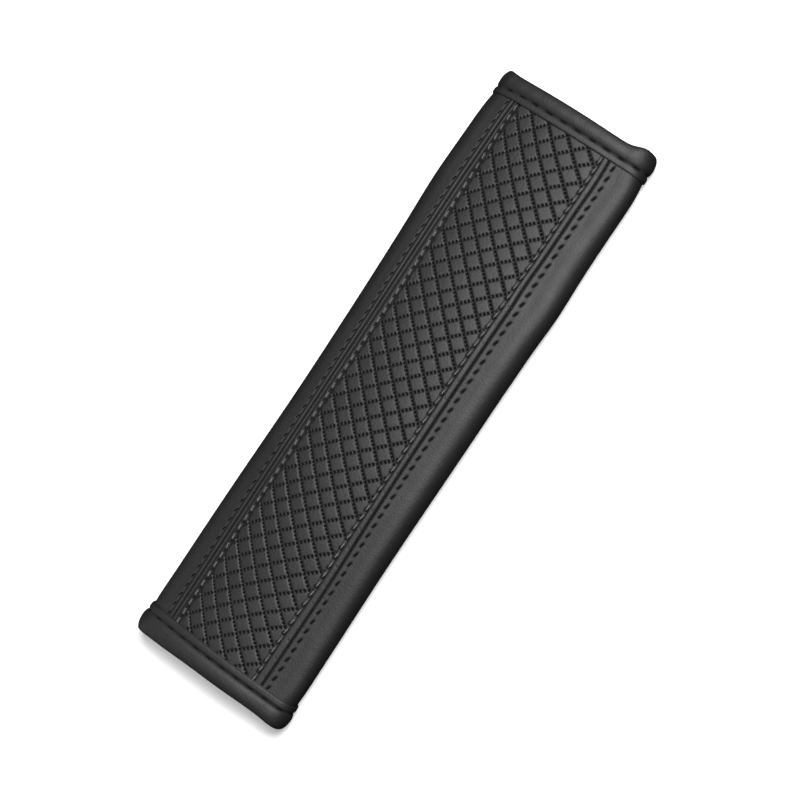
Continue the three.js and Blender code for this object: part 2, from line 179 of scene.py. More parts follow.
# How far the lattice bows to the left at the bottom and at the top, and how deep a tile's corners lie
BOW_BOTTOM, BOW_TOP = 1.7, 1.4
PILLOW = 0.10
# How far below the middle the falling lines are still full, and where they are faintest
FULL_ABOVE, FAINT_BELOW = 55, 95

SIDE_RADIUS = (TOP - BACK - CROWN) / 2
SIDE_CENTRE = WIDTH / 2 - SIDE_RADIUS
CROWN_ANGLE = 2 * math.atan(CROWN / SIDE_CENTRE)
CROWN_RADIUS = SIDE_RADIUS + SIDE_CENTRE / math.sin(CROWN_ANGLE)


def make_half(legs):
    """Starts of the legs of one half of the outside, from the top of the front. A leg is a length and
    the angle that it bends through, clockwise. Returns the distance, place, heading and bend per
    millimetre at each start, as five arrays, and the half's whole length."""
    s, x, z, heading = 0.0, 0.0, TOP, 0.0
    starts = []
    for length, turn in legs:
        bend = turn / length
        starts.append((s, x, z, heading, bend))
        if bend:
            after = heading - turn
            x += (math.sin(heading) - math.sin(after)) / bend
            z += (math.cos(after) - math.cos(heading)) / bend
            heading = after
        else:
            x += math.cos(heading) * length
            z += math.sin(heading) * length
        s += length
    return np.array(starts).T, s


FRONT_LEG = (CROWN_RADIUS * CROWN_ANGLE, CROWN_ANGLE)
SIDE_LEG = (SIDE_RADIUS * (math.pi - CROWN_ANGLE), math.pi - CROWN_ANGLE)
STEP_LEG = STEP_RADIUS * STEP_ANGLE
RIGHT_HALF, RIGHT_TIP = make_half(
    [
        FRONT_LEG,
        SIDE_LEG,
        (SIDE_CENTRE - STEP_FOOT, 0),
        (STEP_LEG, STEP_ANGLE),
        (STEP_LEG, -STEP_ANGLE),
        (2 * TIP + STEP_CLEARANCE, 0),
    ]
)
LEFT_HALF, LEFT_LENGTH = make_half([FRONT_LEG, SIDE_LEG, (SIDE_CENTRE + TIP, 0)])
LEFT_TIP = -LEFT_LENGTH
BACK_START = FRONT_LEG[0] + SIDE_LEG[0]
RIGHT_STEP = BACK_START + SIDE_CENTRE - STEP_FOOT
LEFT_FOAM_EDGE = -(BACK_START + SIDE_CENTRE - TIP - FOAM_TO_FLAP)


def on_outer_flap(x):
    """The distance s of the place x on the outer flap."""
    return -(BACK_START + SIDE_CENTRE + x)


def on_inner_flap(x):
    """The distance s of the place x on the inner flap."""
    return RIGHT_TIP - TIP - x


def follow(half, s):
    """x, z and heading at the distances s along a half: a straight leg runs on along its heading, and a
    bent one turns about the centre that its bend gives."""
    leg = np.clip(np.searchsorted(half[0], s, side="right") - 1, 0, half.shape[1] - 1)
    s0, x0, z0, heading0, bend = half[:, leg]
    heading = heading0 - bend * (s - s0)
    curved = np.where(bend == 0, 1.0, bend)
    x = np.where(bend == 0, np.cos(heading0) * (s - s0), (np.sin(heading0) - np.sin(heading)) / curved)
    z = np.where(bend == 0, np.sin(heading0) * (s - s0), (np.cos(heading) - np.cos(heading0)) / curved)
    return x0 + x, z0 + z, heading


def smooth_step(value, low, high):
    """0 below low and 1 above high, with an S-shaped rise between them."""
    t = np.clip((value - low) / (high - low), 0, 1)
    return t * t * (3 - 2 * t)


def hump(value, centre, spread):
    """A bell curve of height 1."""
    return np.exp(-(((value - centre) / spread) ** 2))


def add_object(name, data):
    """A new object in the scene."""
    made = bpy.data.objects.new(name, data)
    bpy.context.scene.collection.objects.link(made)
    return made


# How the sewn sleeve departs from its even form: (place along y, spread, height) of swellings in width
RIGHT_SWELLINGS = (
    (62, 15, 0.95), (-62, 28, -0.25), (90, 60, 0.3), (-45, 50, -0.4), (62, 45, -0.3), (133, 9, -2.3),
    (-133, 9, -1.2), (0, 500, 0.12), (36, 10, 0.15), (116, 12, 0.2), (-120, 12, 0.2),
)
LEFT_SWELLINGS = (
    (86, 22, 1.3), (-12, 48, -1.05), (-95, 35, 0.45), (112, 12, 0.3), (-120, 10, 0.3), (133, 9, -2.0),
    (-133, 9, -0.2), (30, 20, -0.2),
)
# The padding fills the upper corner of the rolled right side, and hardly that of the left one; the
# swelling is gone at a depth of SWELL_DEPTH
CORNER_SWELL, LEFT_CORNER_SWELL, CORNER_AT, CORNER_SPREAD = 1.5, 0.2, 36.0, 4.5
SWELL_DEPTH = 8
# How far the right seam strays outwards: everywhere, and as (place along y, spread, height)
SEAM_STRAY = 0.1
SEAM_STRAYS = ((-70, 35, 0.7), (66, 9, -0.45))
FRONT_SHIFT = -0.55
FRONT_SPREAD = 0.011
MIDDLE_LIFT = 1.3
END_DROP = 1.0
# Lobes at the ends' corners: (end, x, spread, height)
CORNER_LOBES = (
    (1, 35.5, 5.5, 2.35), (1, -34, 4, 0.5), (1, 0, 28, 0.5), (1, 0, 200, -0.55), (-1, -37, 14, 1.3),
    (-1, 0, 200, -0.2), (-1, 38, 5, 0.5), (-1, 24, 12, -0.35), (-1, -19, 11, 0.5),
)
LOBE_REACH = 8.0


def soften(x, y, z):
    """The sewn form of each place: the sides swell and draw in along the sleeve, the front stands higher
    in the middle than at the bound ends, and the ends' corners push out."""
    across = np.clip(np.abs(x) / (WIDTH / 2), 0, 1) ** 2
    right = sum(height * hump(y, at, spread) for at, spread, height in RIGHT_SWELLINGS)
    left = sum(height * hump(y, at, spread) for at, spread, height in LEFT_SWELLINGS)
    front = smooth_step(z, BACK + 8, TOP - 6) * (1 - np.clip(np.abs(x) / (WIDTH / 2), 0, 1) ** 6)
    new_x = x + across * np.where(x > 0, right, -left) + front * (FRONT_SHIFT + FRONT_SPREAD * x)
    height = np.clip((z - BACK) / (TOP - BACK), 0, 1.1)
    lift = (MIDDLE_LIFT + END_DROP) * np.exp(-((y / 75) ** 4)) - END_DROP
    new_z = np.maximum(z + height * lift, 0)
    near_end = smooth_step(np.abs(y), LENGTH / 2 - LOBE_REACH, LENGTH / 2)
    side_height = smooth_step(z, 0, 14)
    push = sum(
        np.where(y * end > 0, end, 0) * size * hump(x, at, spread)
        for end, at, spread, size in CORNER_LOBES
    )
    new_y = y + near_end * side_height * push
    return new_x, new_y, new_z


# The simulated swelling, which is slight: pressure, frames, size of the grid, and the most it may move
SWELL_PRESSURE = 4.0
SWELL_FRAMES = 20
SWELL_COLUMNS, SWELL_ROWS = 57, 65
SWELL_CAP = 0.9


def held(s, y):
    """How firmly the outside is held while it swells: fully along the seams, at the ends and at the
    back, and half where the quilting holds it to its backing."""
    out = np.abs(s)
    fixed = (np.abs(out - SEAM) < 1.3) | (out > BACK_START + 2) | (np.abs(y) > LAYER_END - 2)
    return np.where(fixed, 1.0, np.where(out < SEAM, 0.5, 0.0))


@functools.cache
def swelling():
    """A cloth simulation of the sleeve's front and sides. A coarse sheet starts in the sleeve's form,
    is held along its seams and edges, and swells under a light pressure without gravity. The result is
    the grid's places s and y, and how far each point moved outwards, less the mean along the sleeve, so
    that the pad keeps its width. Where the leather is seen that is less than 0.2 mm, so the padded form
    comes from soften, place and the insets."""
    edge = BACK_START + 4
    s, y = np.linspace(-edge, edge, SWELL_COLUMNS), np.linspace(-LAYER_END, LAYER_END, SWELL_ROWS)
    grid_s, grid_y = np.meshgrid(s, y)
    start = place(grid_s, grid_y, 0.0, swollen=False).reshape(-1, 3)
    outward = place(grid_s, grid_y, -1.0, swollen=False).reshape(-1, 3) - start
    outward /= np.linalg.norm(outward, axis=1, keepdims=True)
    i, j = np.meshgrid(np.arange(SWELL_ROWS - 1), np.arange(SWELL_COLUMNS - 1), indexing="ij")
    corner = i * SWELL_COLUMNS + j
    above = corner + SWELL_COLUMNS
    quads = np.stack([corner, corner + 1, above + 1, above], -1).reshape(-1, 4)
    mesh = bpy.data.meshes.new("swelling")
    mesh.from_pydata((start * MM).tolist(), [], quads.tolist())
    sheet = add_object("swelling", mesh)
    group = sheet.vertex_groups.new(name="held")
    firmness = held(grid_s, grid_y).ravel()
    for level in (0.5, 1.0):
        group.add(np.flatnonzero(firmness == level).tolist(), level, "REPLACE")
    cloth = sheet.modifiers.new("swelling", "CLOTH")
    cloth.settings.effector_weights.gravity = 0
    cloth.settings.use_pressure = True
    cloth.settings.uniform_pressure_force = SWELL_PRESSURE
    cloth.settings.vertex_group_mass = "held"
    cloth.point_cache.frame_start, cloth.point_cache.frame_end = 1, SWELL_FRAMES
    for number in range(1, SWELL_FRAMES + 1):
        bpy.context.scene.frame_set(number)
    end = np.empty(start.size)
    evaluated = sheet.evaluated_get(bpy.context.evaluated_depsgraph_get())
    evaluated.data.vertices.foreach_get("co", end)
    moved = ((end.reshape(-1, 3) / MM - start) * outward).sum(1).reshape(SWELL_ROWS, SWELL_COLUMNS)
    bpy.data.objects.remove(sheet)
    bpy.data.meshes.remove(mesh)
    bpy.context.scene.frame_set(1)
    moved = np.clip(moved, -SWELL_CAP, SWELL_CAP)
    return s, y, moved - moved.mean(0)


def swollen_by(s, y):
    """The swelling at any places, read between the points of the simulated grid and fading out
    under the bindings."""
    columns, rows, field = swelling()
    i = np.clip((y - rows[0]) / (rows[1] - rows[0]), 0, len(rows) - 1.001)
    j = np.clip((s - columns[0]) / (columns[1] - columns[0]), 0, len(columns) - 1.001)
    a, b = i.astype(int), j.astype(int)
    i, j = i - a, j - b
    low = field[a, b] * (1 - j) + field[a, b + 1] * j
    high = field[a + 1, b] * (1 - j) + field[a + 1, b + 1] * j
    shown = 1 - smooth_step(np.abs(y), LENGTH / 2 - 16, LENGTH / 2 - 9)
    return (low * (1 - i) + high * i) * shown


def place(s, y, inset, swollen=True):
    """The points at distance s, y along the sleeve and inset below its outside, as an array of x, y, z.
    The swelling moves the leather by its whole and the lining by none of it."""
    s, y, inset = np.broadcast_arrays(np.asarray(s, float), y, inset)
    if swollen:
        inset = inset - swollen_by(s, y) * np.clip(1 - inset / LINING_OUT, 0, 1)
    strays = SEAM_STRAY + sum(height * hump(y, at, spread) for at, spread, height in SEAM_STRAYS)
    s = s + (strays + 0.2 * smooth_step(y, 100, 114)) * hump(s, SEAM, 5)
    swell = np.where(s > 0, CORNER_SWELL, LEFT_CORNER_SWELL) * hump(np.abs(s), CORNER_AT, CORNER_SPREAD)
    inset = inset - swell * np.clip(1 - inset / SWELL_DEPTH, 0, 1)
    right = follow(RIGHT_HALF, np.abs(s))
    left = follow(LEFT_HALF, np.abs(s))
    x, z, heading = (np.where(s < 0, a, b) for a, b in zip(left, right))
    x = np.where(s < 0, -1, 1) * (x + inset * np.sin(heading))
    z = z - inset * np.cos(heading)
    return np.stack(soften(x, y, z), axis=-1)


def over_foam(s, deep, shallow):
    """The depth of a line that covers the foam and comes down to the leather past the foam's edges."""
    left, right = LEFT_FOAM_EDGE - LAYER_GAP, RIGHT_STEP + LAYER_GAP
    places = [left - LINING_RAMP, left, right, right + LINING_RAMP]
    return np.interp(s, places, [shallow, deep, deep, shallow])


def steps(*knots):
    """Rising values through knots, each knot but the last followed by the step to use up to the next."""
    parts = []
    for start, step, end in zip(knots[0::2], knots[1::2], knots[2::2]):
        count = max(1, round(abs(end - start) / step))
        parts.append(np.linspace(start, end, count, endpoint=False))
    return np.concatenate([*parts, [knots[-1]]])


def make_mesh(name, points, faces, uv=None, marks=None):
    """An object from points in millimetres and an array of faces that all have the same number of
    corners, or a list of such arrays. Its faces are turned to point outwards. marks are values of each
    point for the material: pressed says how deep in a narrow crease or hole it lies, from 0 to 1, and the
    leather paints shade there by it, darkening its colour; quilted is 1 where the lattice is pressed in."""
    groups = faces if isinstance(faces, list) else [faces]
    points = np.asarray(points, float).reshape(-1, 3)
    volume = 0.0
    for group in groups:
        first = points[group[:, 0]]
        for k in range(1, group.shape[1] - 1):
            volume += np.einsum("ij,ij->", first, np.cross(points[group[:, k]], points[group[:, k + 1]]))
    if volume < 0:
        groups = [group[:, ::-1] for group in groups]
    corners = np.concatenate([group.ravel() for group in groups]).astype(np.int32)
    sizes = np.concatenate([np.full(len(group), group.shape[1]) for group in groups]).astype(np.int32)
    mesh = bpy.data.meshes.new(name)
    mesh.vertices.add(len(points))
    mesh.vertices.foreach_set("co", (points * MM).astype(np.float32).ravel())
    mesh.loops.add(len(corners))
    mesh.loops.foreach_set("vertex_index", corners)
    mesh.polygons.add(len(sizes))
    mesh.polygons.foreach_set("loop_start", (np.cumsum(sizes) - sizes).astype(np.int32))
    mesh.polygons.foreach_set("use_smooth", np.ones(len(sizes), bool))
    if uv is not None:
        layer = mesh.uv_layers.new(name="surface")
        layer.data.foreach_set("uv", np.asarray(uv, np.float32).reshape(-1, 2)[corners].ravel())
    for mark, values in (marks or {}).items():
        layer = mesh.attributes.new(mark, "FLOAT", "POINT")
        layer.data.foreach_set("value", np.asarray(values, np.float32).ravel())
    mesh.update(calc_edges=True)
    mesh.validate()
    return add_object(name, mesh)


def ring_faces(rows, count, first=0):
    """Quads between neighbouring closed rings of count points each."""
    i, j = np.meshgrid(np.arange(rows - 1), np.arange(count), indexing="ij")
    a = i * count + j
    b = i * count + (j + 1) % count
    return first + np.stack([a, b, b + count, a + count], -1).reshape(-1, 4)


def tube_of_rings(name, rings, uv=None, rising=None, marks=None):
    """A closed body from rings of points, one ring after another, with a flat face at each end. rising
    marks the quads to be cut from their first corner, where the others are cut from their second."""
    rows, count = rings.shape[:2]
    ends = np.stack([np.arange(count)[::-1], np.arange(count) + (rows - 1) * count])
    quads = ring_faces(rows, count)
    if rising is not None:
        a, b, c, d = quads.T
        flag = rising.ravel()
        first = np.stack([a, b, np.where(flag, c, d)], -1)
        second = np.stack([np.where(flag, a, b), c, d], -1)
        quads = np.concatenate([first, second])
    return make_mesh(name, rings, [quads, ends], uv, marks)


UV_SPAN = 300


def surface_uv(s, y):
    """UV that shows a place by its distance round and along the sleeve, UV_SPAN mm to the unit."""
    return np.stack([s / UV_SPAN + 0.5, y / UV_SPAN + 0.5], -1)


def no_drift(s, y):
    """Leaves a layer's grid as it is."""
    return s, y


def front_drift(s, y):
    """Where the quilting's even grid lies on the sewn panel: it bows to the left towards the ends, less
    near the seams, and its rows rise a little to the right."""
    bow = BOW_BOTTOM * smooth_step(-y, 0, 135) + BOW_TOP * smooth_step(y, 45, 125)
    hold = np.clip(1 - (s / QUILT_RIGHT) ** 2, 0, 1)
    slope = ROW_SLOPE * (s - ROW_SLOPE_FROM) * (1 - smooth_step(np.abs(y), LENGTH / 2 - 9, LENGTH / 2 - 2))
    return s - bow * hold, y + slope


def sheet_of(name, s_out, inset_out, s_in, inset_in, y, rising=None, drift=no_drift, marks=None):
    """A closed layer: its outside runs through s_out and its inside through s_in, and both insets are
    functions of s and y. Every row of y is one ring, outside first and inside backwards. rising says,
    from a face's s and y, whether it is cut along the diagonal that rises to the right. drift moves the
    finished grid over the sleeve. marks are functions of s and y that mark the outside."""
    grid_y = y[:, None]
    s = np.concatenate([s_out, s_in[::-1]])[None, :] + 0 * grid_y
    inset = np.concatenate(
        [inset_out(s_out[None, :], grid_y), inset_in(s_in[::-1][None, :], grid_y)], axis=1
    )
    grid_y = grid_y + 0 * s
    cut = None
    if rising:
        after_s = np.roll(s, -1, axis=1)
        cut = rising((s + after_s)[:-1] / 2, (grid_y[:-1] + grid_y[1:]) / 2)
    values = {mark: np.zeros(s.shape) for mark in marks or {}}
    for mark, value in values.items():
        value[:, : len(s_out)] = marks[mark](s_out[None, :], y[:, None])
    return tube_of_rings(name, place(*drift(s, grid_y), inset), surface_uv(s, grid_y), cut, values)


def even(depth):
    """An inset that is the same everywhere."""
    return lambda s, y: depth + 0 * s + 0 * y


def sizes():
    return bpy.context.scene.shoulder_pad_sizes


def colours():
    return bpy.context.scene.shoulder_pad_colours


def row_phase(s, y, row, lean):
    """How far a place lies from the middle of its stitch, across and along the slanted stitch."""
    pitch = sizes().stitch / MM
    along = y - np.round(y / pitch) * pitch
    across = s - row
    return across * math.cos(lean) - along * math.sin(lean), across * math.sin(lean) + along * math.cos(lean)


STITCH_LEAN = math.radians(16)


def slot_depth(s, y, row, depth, half_width=0.3, half_length=1.15):
    """Dimples that a row's stitches press into the leather: flat-bottomed ovals with soft edges."""
    across, along = row_phase(s, y, row, STITCH_LEAN)
    return depth * np.exp(-((across / half_width) ** 4) - (along / half_length) ** 4)


def seam_round(distance, radius, drop):
    """How far a folded edge has fallen at a distance from its end: a quarter of an ellipse."""
    t = np.clip(1 - distance / radius, 0, 1)
    return drop * (1 - np.sqrt(1 - t * t))


def lattice(s, y):
    """u and v count the pressed lines that fall to the right and those that rise to the right, and the
    third value is the distance in millimetres between two lines of a kind."""
    across, along = sizes().diamond_width / MM, sizes().diamond_length / MM
    columns, rows = (s - LATTICE_MIDDLE[0]) / across, (y - LATTICE_MIDDLE[1]) / along
    return columns + rows, columns - rows, 1 / math.hypot(1 / across, 1 / along)


def quilting(s, y):
    """Depth of the pressed diamonds: a shallow groove along the nearer line, fainter at the bottom,
    pits along both kinds of line, and a tile that swells a little in its middle."""
    u, v, spacing = lattice(s, y)
    du, dv = np.abs(u - np.round(u)), np.abs(v - np.round(v))
    full = 1 - 0.5 * smooth_step(-y, FULL_ABOVE, FAINT_BELOW)
    falling = full * np.clip(1 - du * spacing / GROOVE_HALF, 0, 1)
    rising = FLAT_LINES * np.clip(1 - dv * spacing / GROOVE_HALF, 0, 1)
    shoulder = np.maximum(falling, rising)
    along_u = np.abs(v * PITS - np.round(v * PITS)) / PITS * spacing
    along_v = np.abs(u * PITS - np.round(u * PITS)) / PITS * spacing
    on_falling = (du * spacing / PIT_WIDTH) ** 2 + (along_u / PIT_LENGTH) ** 2
    on_rising = (dv * spacing / PIT_LENGTH) ** 2 + (along_v / PIT_WIDTH) ** 2
    pits = np.exp(-(np.minimum(on_falling, on_rising) ** 1.5))
    pillow = PILLOW * ((1 - 2 * du) ** 2 + (1 - 2 * dv) ** 2)
    return sizes().groove / MM * shoulder + PIT_DEPTH * pits + pillow


def hole_depth(s, y, row, depth, radius):
    """Pits where the thread of a row dives between two stitches."""
    pitch = sizes().stitch / MM
    along = y - (np.floor(y / pitch) + 0.5) * pitch
    return depth * np.exp(-(((s - row) / radius) ** 4) - (along / radius) ** 4)


def panel_rows(s, y):
    """Where the quilting ends and where the centre panel's row runs, on the side of s, as distances
    from the middle of the front."""
    left, right = np.interp(y, STRAY_LEFT_AT, STRAY_LEFT), np.interp(y, STRAY_RIGHT_AT, STRAY_RIGHT)
    stray = np.where(s < 0, left, right)
    line = np.where(s < 0, QUILT_LEFT, QUILT_RIGHT) + stray
    return line, np.where(s < 0, LEFT_PANEL_ROW, RIGHT_PANEL_ROW) + stray


def front_creases(s, y):
    """Depth of the narrow places beside the quilting: a sharp line right of each row, the row's holes,
    a valley on the left fold, and the fall into the seam."""
    side, left = np.abs(s), s < 0
    line, row = panel_rows(s, y)
    sharp_at, sharp_width = np.where(left, line + 0.1, row + 0.62), np.where(left, 0.28, 0.22)
    sharp = np.where(left, SHARP_LEFT, SHARP_RIGHT) * hump(side, sharp_at, sharp_width)
    ended = np.where(left, 0, QUILT_END) * hump(side, line, 0.25)
    valley = np.where(left, PANEL_VALLEY, 0) * hump(side, SEAM - 1.75, 0.33)
    fall = seam_round(SEAM - SEAM_HALF_GAP - side, FALL_WIDTH, FALL_DEPTH)
    radius = np.where(left, HOLE_LEFT, HOLE_RIGHT)
    holes = hole_depth(side, y, row - np.where(left, 0.25, 0), HOLE_DEPTH, radius)
    return sharp + ended + holes + valley + fall


def quilted_share(s, y):
    """1 on the quilting and 0 beyond the line where it ends."""
    line = panel_rows(s, y)[0]
    return 1 - smooth_step(np.abs(s), line - 0.1, line + 0.2)


def crease_shade_by(creases):
    """The mark of the places that narrow creases press in, from a function that gives their depth. The
    leather paints shade by it, darkening its colour in the creases, and makes them rougher.
    """
    return {"pressed": lambda s, y: np.clip(creases(s, y) / FULL_CREASE_SHADE, 0, 1)}


def front_inset(s, y):
    """Outside of the centre panel: quilting up to the row, the row's shallow channel, a raised fold
    with small creases, and its narrow places."""
    side, left = np.abs(s), s < 0
    row = panel_rows(s, y)[1]
    quilted = quilted_share(s, y)
    channel = PANEL_CHANNEL * (1 - quilted) * (1 - smooth_step(side, row + 0.2, row + 0.9))
    u, v, _ = lattice(s, y)
    crease_at = np.where(left, v, u)
    crease = hump(crease_at - np.round(crease_at), 0, 0.045) * hump(side, 22.4, 0.6)
    crest = row + 1.1
    slope = 1 - 0.7 * np.clip((side - crest) / (SEAM - crest), 0, 1) ** 1.4
    right_fold = PANEL_FOLD_RIGHT * smooth_step(side, row + 0.75, crest) * slope
    fold = np.where(left, PANEL_FOLD_LEFT * hump(side, SEAM - 1.0, 0.5), right_fold)
    return quilting(s, y) * quilted + channel + SMALL_CREASE * crease - fold + front_creases(s, y)


def side_creases(side, rows=()):
    """Depth of a side panel's narrow places: the fall into the seam, the valley beside its fold, and
    the dimples of its rows of stitches."""

    def depth(s, y):
        out = np.abs(s)
        fall = seam_round(out - SEAM - SEAM_HALF_GAP, FALL_WIDTH, FALL_DEPTH)
        if side > 0:
            slots = slot_depth(s, y, SIDE_ROW, RIGHT_SLOT, RIGHT_SLOT_HALF_WIDTH)
            sewn = SIDE_CHANNEL * hump(out, SIDE_ROW, 0.7) + slots
        else:
            sewn = SIDE_VALLEY * hump(out, SEAM + 1.9, 0.42) + slot_depth(s, y, -SIDE_ROW, LEFT_SLOT)
        for row in rows:
            sewn = sewn + slot_depth(s, y, row, TAPE_SLOT)
        return fall + sewn

    return depth


def side_inset(side, tip, rows=()):
    """Outside of a side panel: the fold beside the seam, the narrow places, and the rounded edge of
    the flap. rows are the places of further stitch rows."""
    creases = side_creases(side, rows)

    def inset(s, y):
        out = np.abs(s)
        fold = SIDE_FOLD_RIGHT if side > 0 else SIDE_FOLD_LEFT
        shape = creases(s, y) - fold * hump(out, SEAM + 1.1, 0.6)
        for row in rows:
            shape = shape + 0.25 * hump(s, row, 0.9)
        return shape + seam_round(np.abs(tip) - out, 1.0, LEATHER)

    return inset


def side_inner(tip):
    """Inside of a side panel: folded double beside the seam and at the flap's edge, single between."""

    def inset(s, y):
        out, end = np.abs(s), np.abs(tip)
        seam_hem = 1 - smooth_step(out, SEAM + 3.8, SEAM + 4.2)
        tip_hem = smooth_step(out, end - HEM_WIDTH - 0.2, end - HEM_WIDTH + 0.2)
        rounded = seam_round(end - out, 1.0, LEATHER)
        return LEATHER + (HEM - LEATHER) * np.maximum(seam_hem, tip_hem) - rounded + 0 * y

    return inset


def fine_rows(step):
    """Places along y: even steps where the layers show, and a few under the end bindings."""
    shown = LENGTH / 2 - 9.0
    return steps(-LAYER_END, 2.0, -shown, step, shown, 2.0, LAYER_END)


def make_quilted_front():
    """The quilted centre panel, on a grid whose diagonals run along the pressed lines."""
    per_diamond = 24
    step_s, step_y = sizes().diamond_width / MM / per_diamond, sizes().diamond_length / MM / per_diamond
    edge = SEAM - SEAM_HALF_GAP
    first = math.ceil((-QUILT_LEFT - max(STRAY_LEFT) - 0.1 - LATTICE_MIDDLE[0]) / step_s)
    last = math.floor((QUILT_RIGHT + max(STRAY_RIGHT) + 0.1 - LATTICE_MIDDLE[0]) / step_s)
    columns = np.arange(first, last + 1) * step_s + LATTICE_MIDDLE[0]
    left = -steps(0.3 - columns[0], 0.3, edge - 0.95, 0.19, edge)[::-1]
    s_out = np.concatenate([left, columns, steps(columns[-1] + 0.3, 0.3, edge - 0.95, 0.19, edge)])
    shown = LENGTH / 2 - 8.5
    count = math.ceil(shown / step_y)
    middle = np.arange(-count, count) * step_y + LATTICE_MIDDLE[1] % step_y
    below, above = steps(-LAYER_END, 2.0, middle[0])[:-1], steps(middle[-1], 2.0, LAYER_END)[1:]
    y = np.concatenate([below, middle, above])
    s_in = steps(-edge, 0.8, -edge + 4.0, 6.0, edge - 4.0, 0.8, edge)

    def inside(s, y):
        return QUILT + (HEM - QUILT) * smooth_step(np.abs(s), edge - 4.2, edge - 3.8) + 0 * y

    # pressed marks the narrow creases and holes, where the leather's colour is darkened as painted shade
    marks = {**crease_shade_by(front_creases), "quilted": quilted_share}
    return sheet_of("quilted_front", s_out, front_inset, s_in, inside, y, along_lines, front_drift, marks)


def along_lines(s, y):
    """True where a face's nearest pressed line rises to the right."""
    u, v, _ = lattice(s, y)
    return np.abs(v - np.round(v)) < np.abs(u - np.round(u))


def make_left_side():
    """The left side panel, from the outer flap's edge round the side to the seam."""
    rows = [on_outer_flap(x) for x in (TAPE_HALF - TAPE_ROW, TAPE_ROW - TAPE_HALF)]
    near, far = SEAM + SEAM_HALF_GAP, -LEFT_TIP
    low, high = -rows[1], -rows[0]
    s_out = -steps(
        near, 0.19, near + 0.95, 0.3, 28.2, 0.8, BACK_START, 1.6, low - 1.5, 0.4, low + 1.5,
        2.0, high - 1.5, 0.4, far,
    )[::-1]
    s_in = -steps(near, 1.0, near + 5.0, 2.0, far - 4.0, 0.4, far)[::-1]
    return sheet_of(
        "left_side", s_out, side_inset(-1, LEFT_TIP, rows), s_in, side_inner(LEFT_TIP), fine_rows(0.4),
        # The creases' mark, by which the leather paints shade in them
        marks=crease_shade_by(side_creases(-1, rows)),
    )


def make_right_side():
    """The right side panel, from the seam round the side, up the step and along the inner flap."""
    near, far = SEAM + SEAM_HALF_GAP, RIGHT_TIP
    s_out = steps(
        near, 0.19, near + 0.95, 0.3, 28.2, 0.8, RIGHT_STEP + 2 * STEP_LEG, 2.0, far - 1.2, 0.3, far
    )
    s_in = steps(near, 1.0, near + 5.0, 2.0, far - 4.0, 0.4, far)
    return sheet_of(
        "right_side", s_out, side_inset(1, RIGHT_TIP), s_in, side_inner(RIGHT_TIP), fine_rows(0.4),
        # The creases' mark, by which the leather paints shade in them
        marks=crease_shade_by(side_creases(1)),
    )


def smooth_loop(points, per_span):
    """A closed curve through points: on each span the cubic whose slopes at both ends are half the
    step between the points before and after."""
    p = np.asarray(points, float)
    before, after, beyond = np.roll(p, 1, 0), np.roll(p, -1, 0), np.roll(p, -2, 0)
    t = np.linspace(0, 1, per_span, endpoint=False)[None, :, None]
    slope0, slope1 = (after - before)[:, None] / 2, (beyond - p)[:, None] / 2
    a, b = p[:, None], after[:, None]
    curve = (
        a * (2 * t**3 - 3 * t**2 + 1)
        + slope0 * (t**3 - 2 * t**2 + t)
        + b * (3 * t**2 - 2 * t**3)
        + slope1 * (t**3 - t**2)
    )
    return curve.reshape(-1, 2)


def binding_pitch():
    return sizes().binding_stitch / MM


def binding_dash(s):
    """1 in the middle of a binding stitch and 0 between two stitches."""
    pitch = binding_pitch()
    count = s - BINDING_FIRST + 0.5 * np.sin(0.37 * s)
    along = count - np.round(count / pitch) * pitch
    return np.exp(-((along / (0.27 * pitch)) ** 4))


def binding_droop(name, s):
    """How far a binding's sewn line and lip lie further in on the left side than in the middle."""
    return END_DROOP[name] * smooth_step(-s, 20, 48)


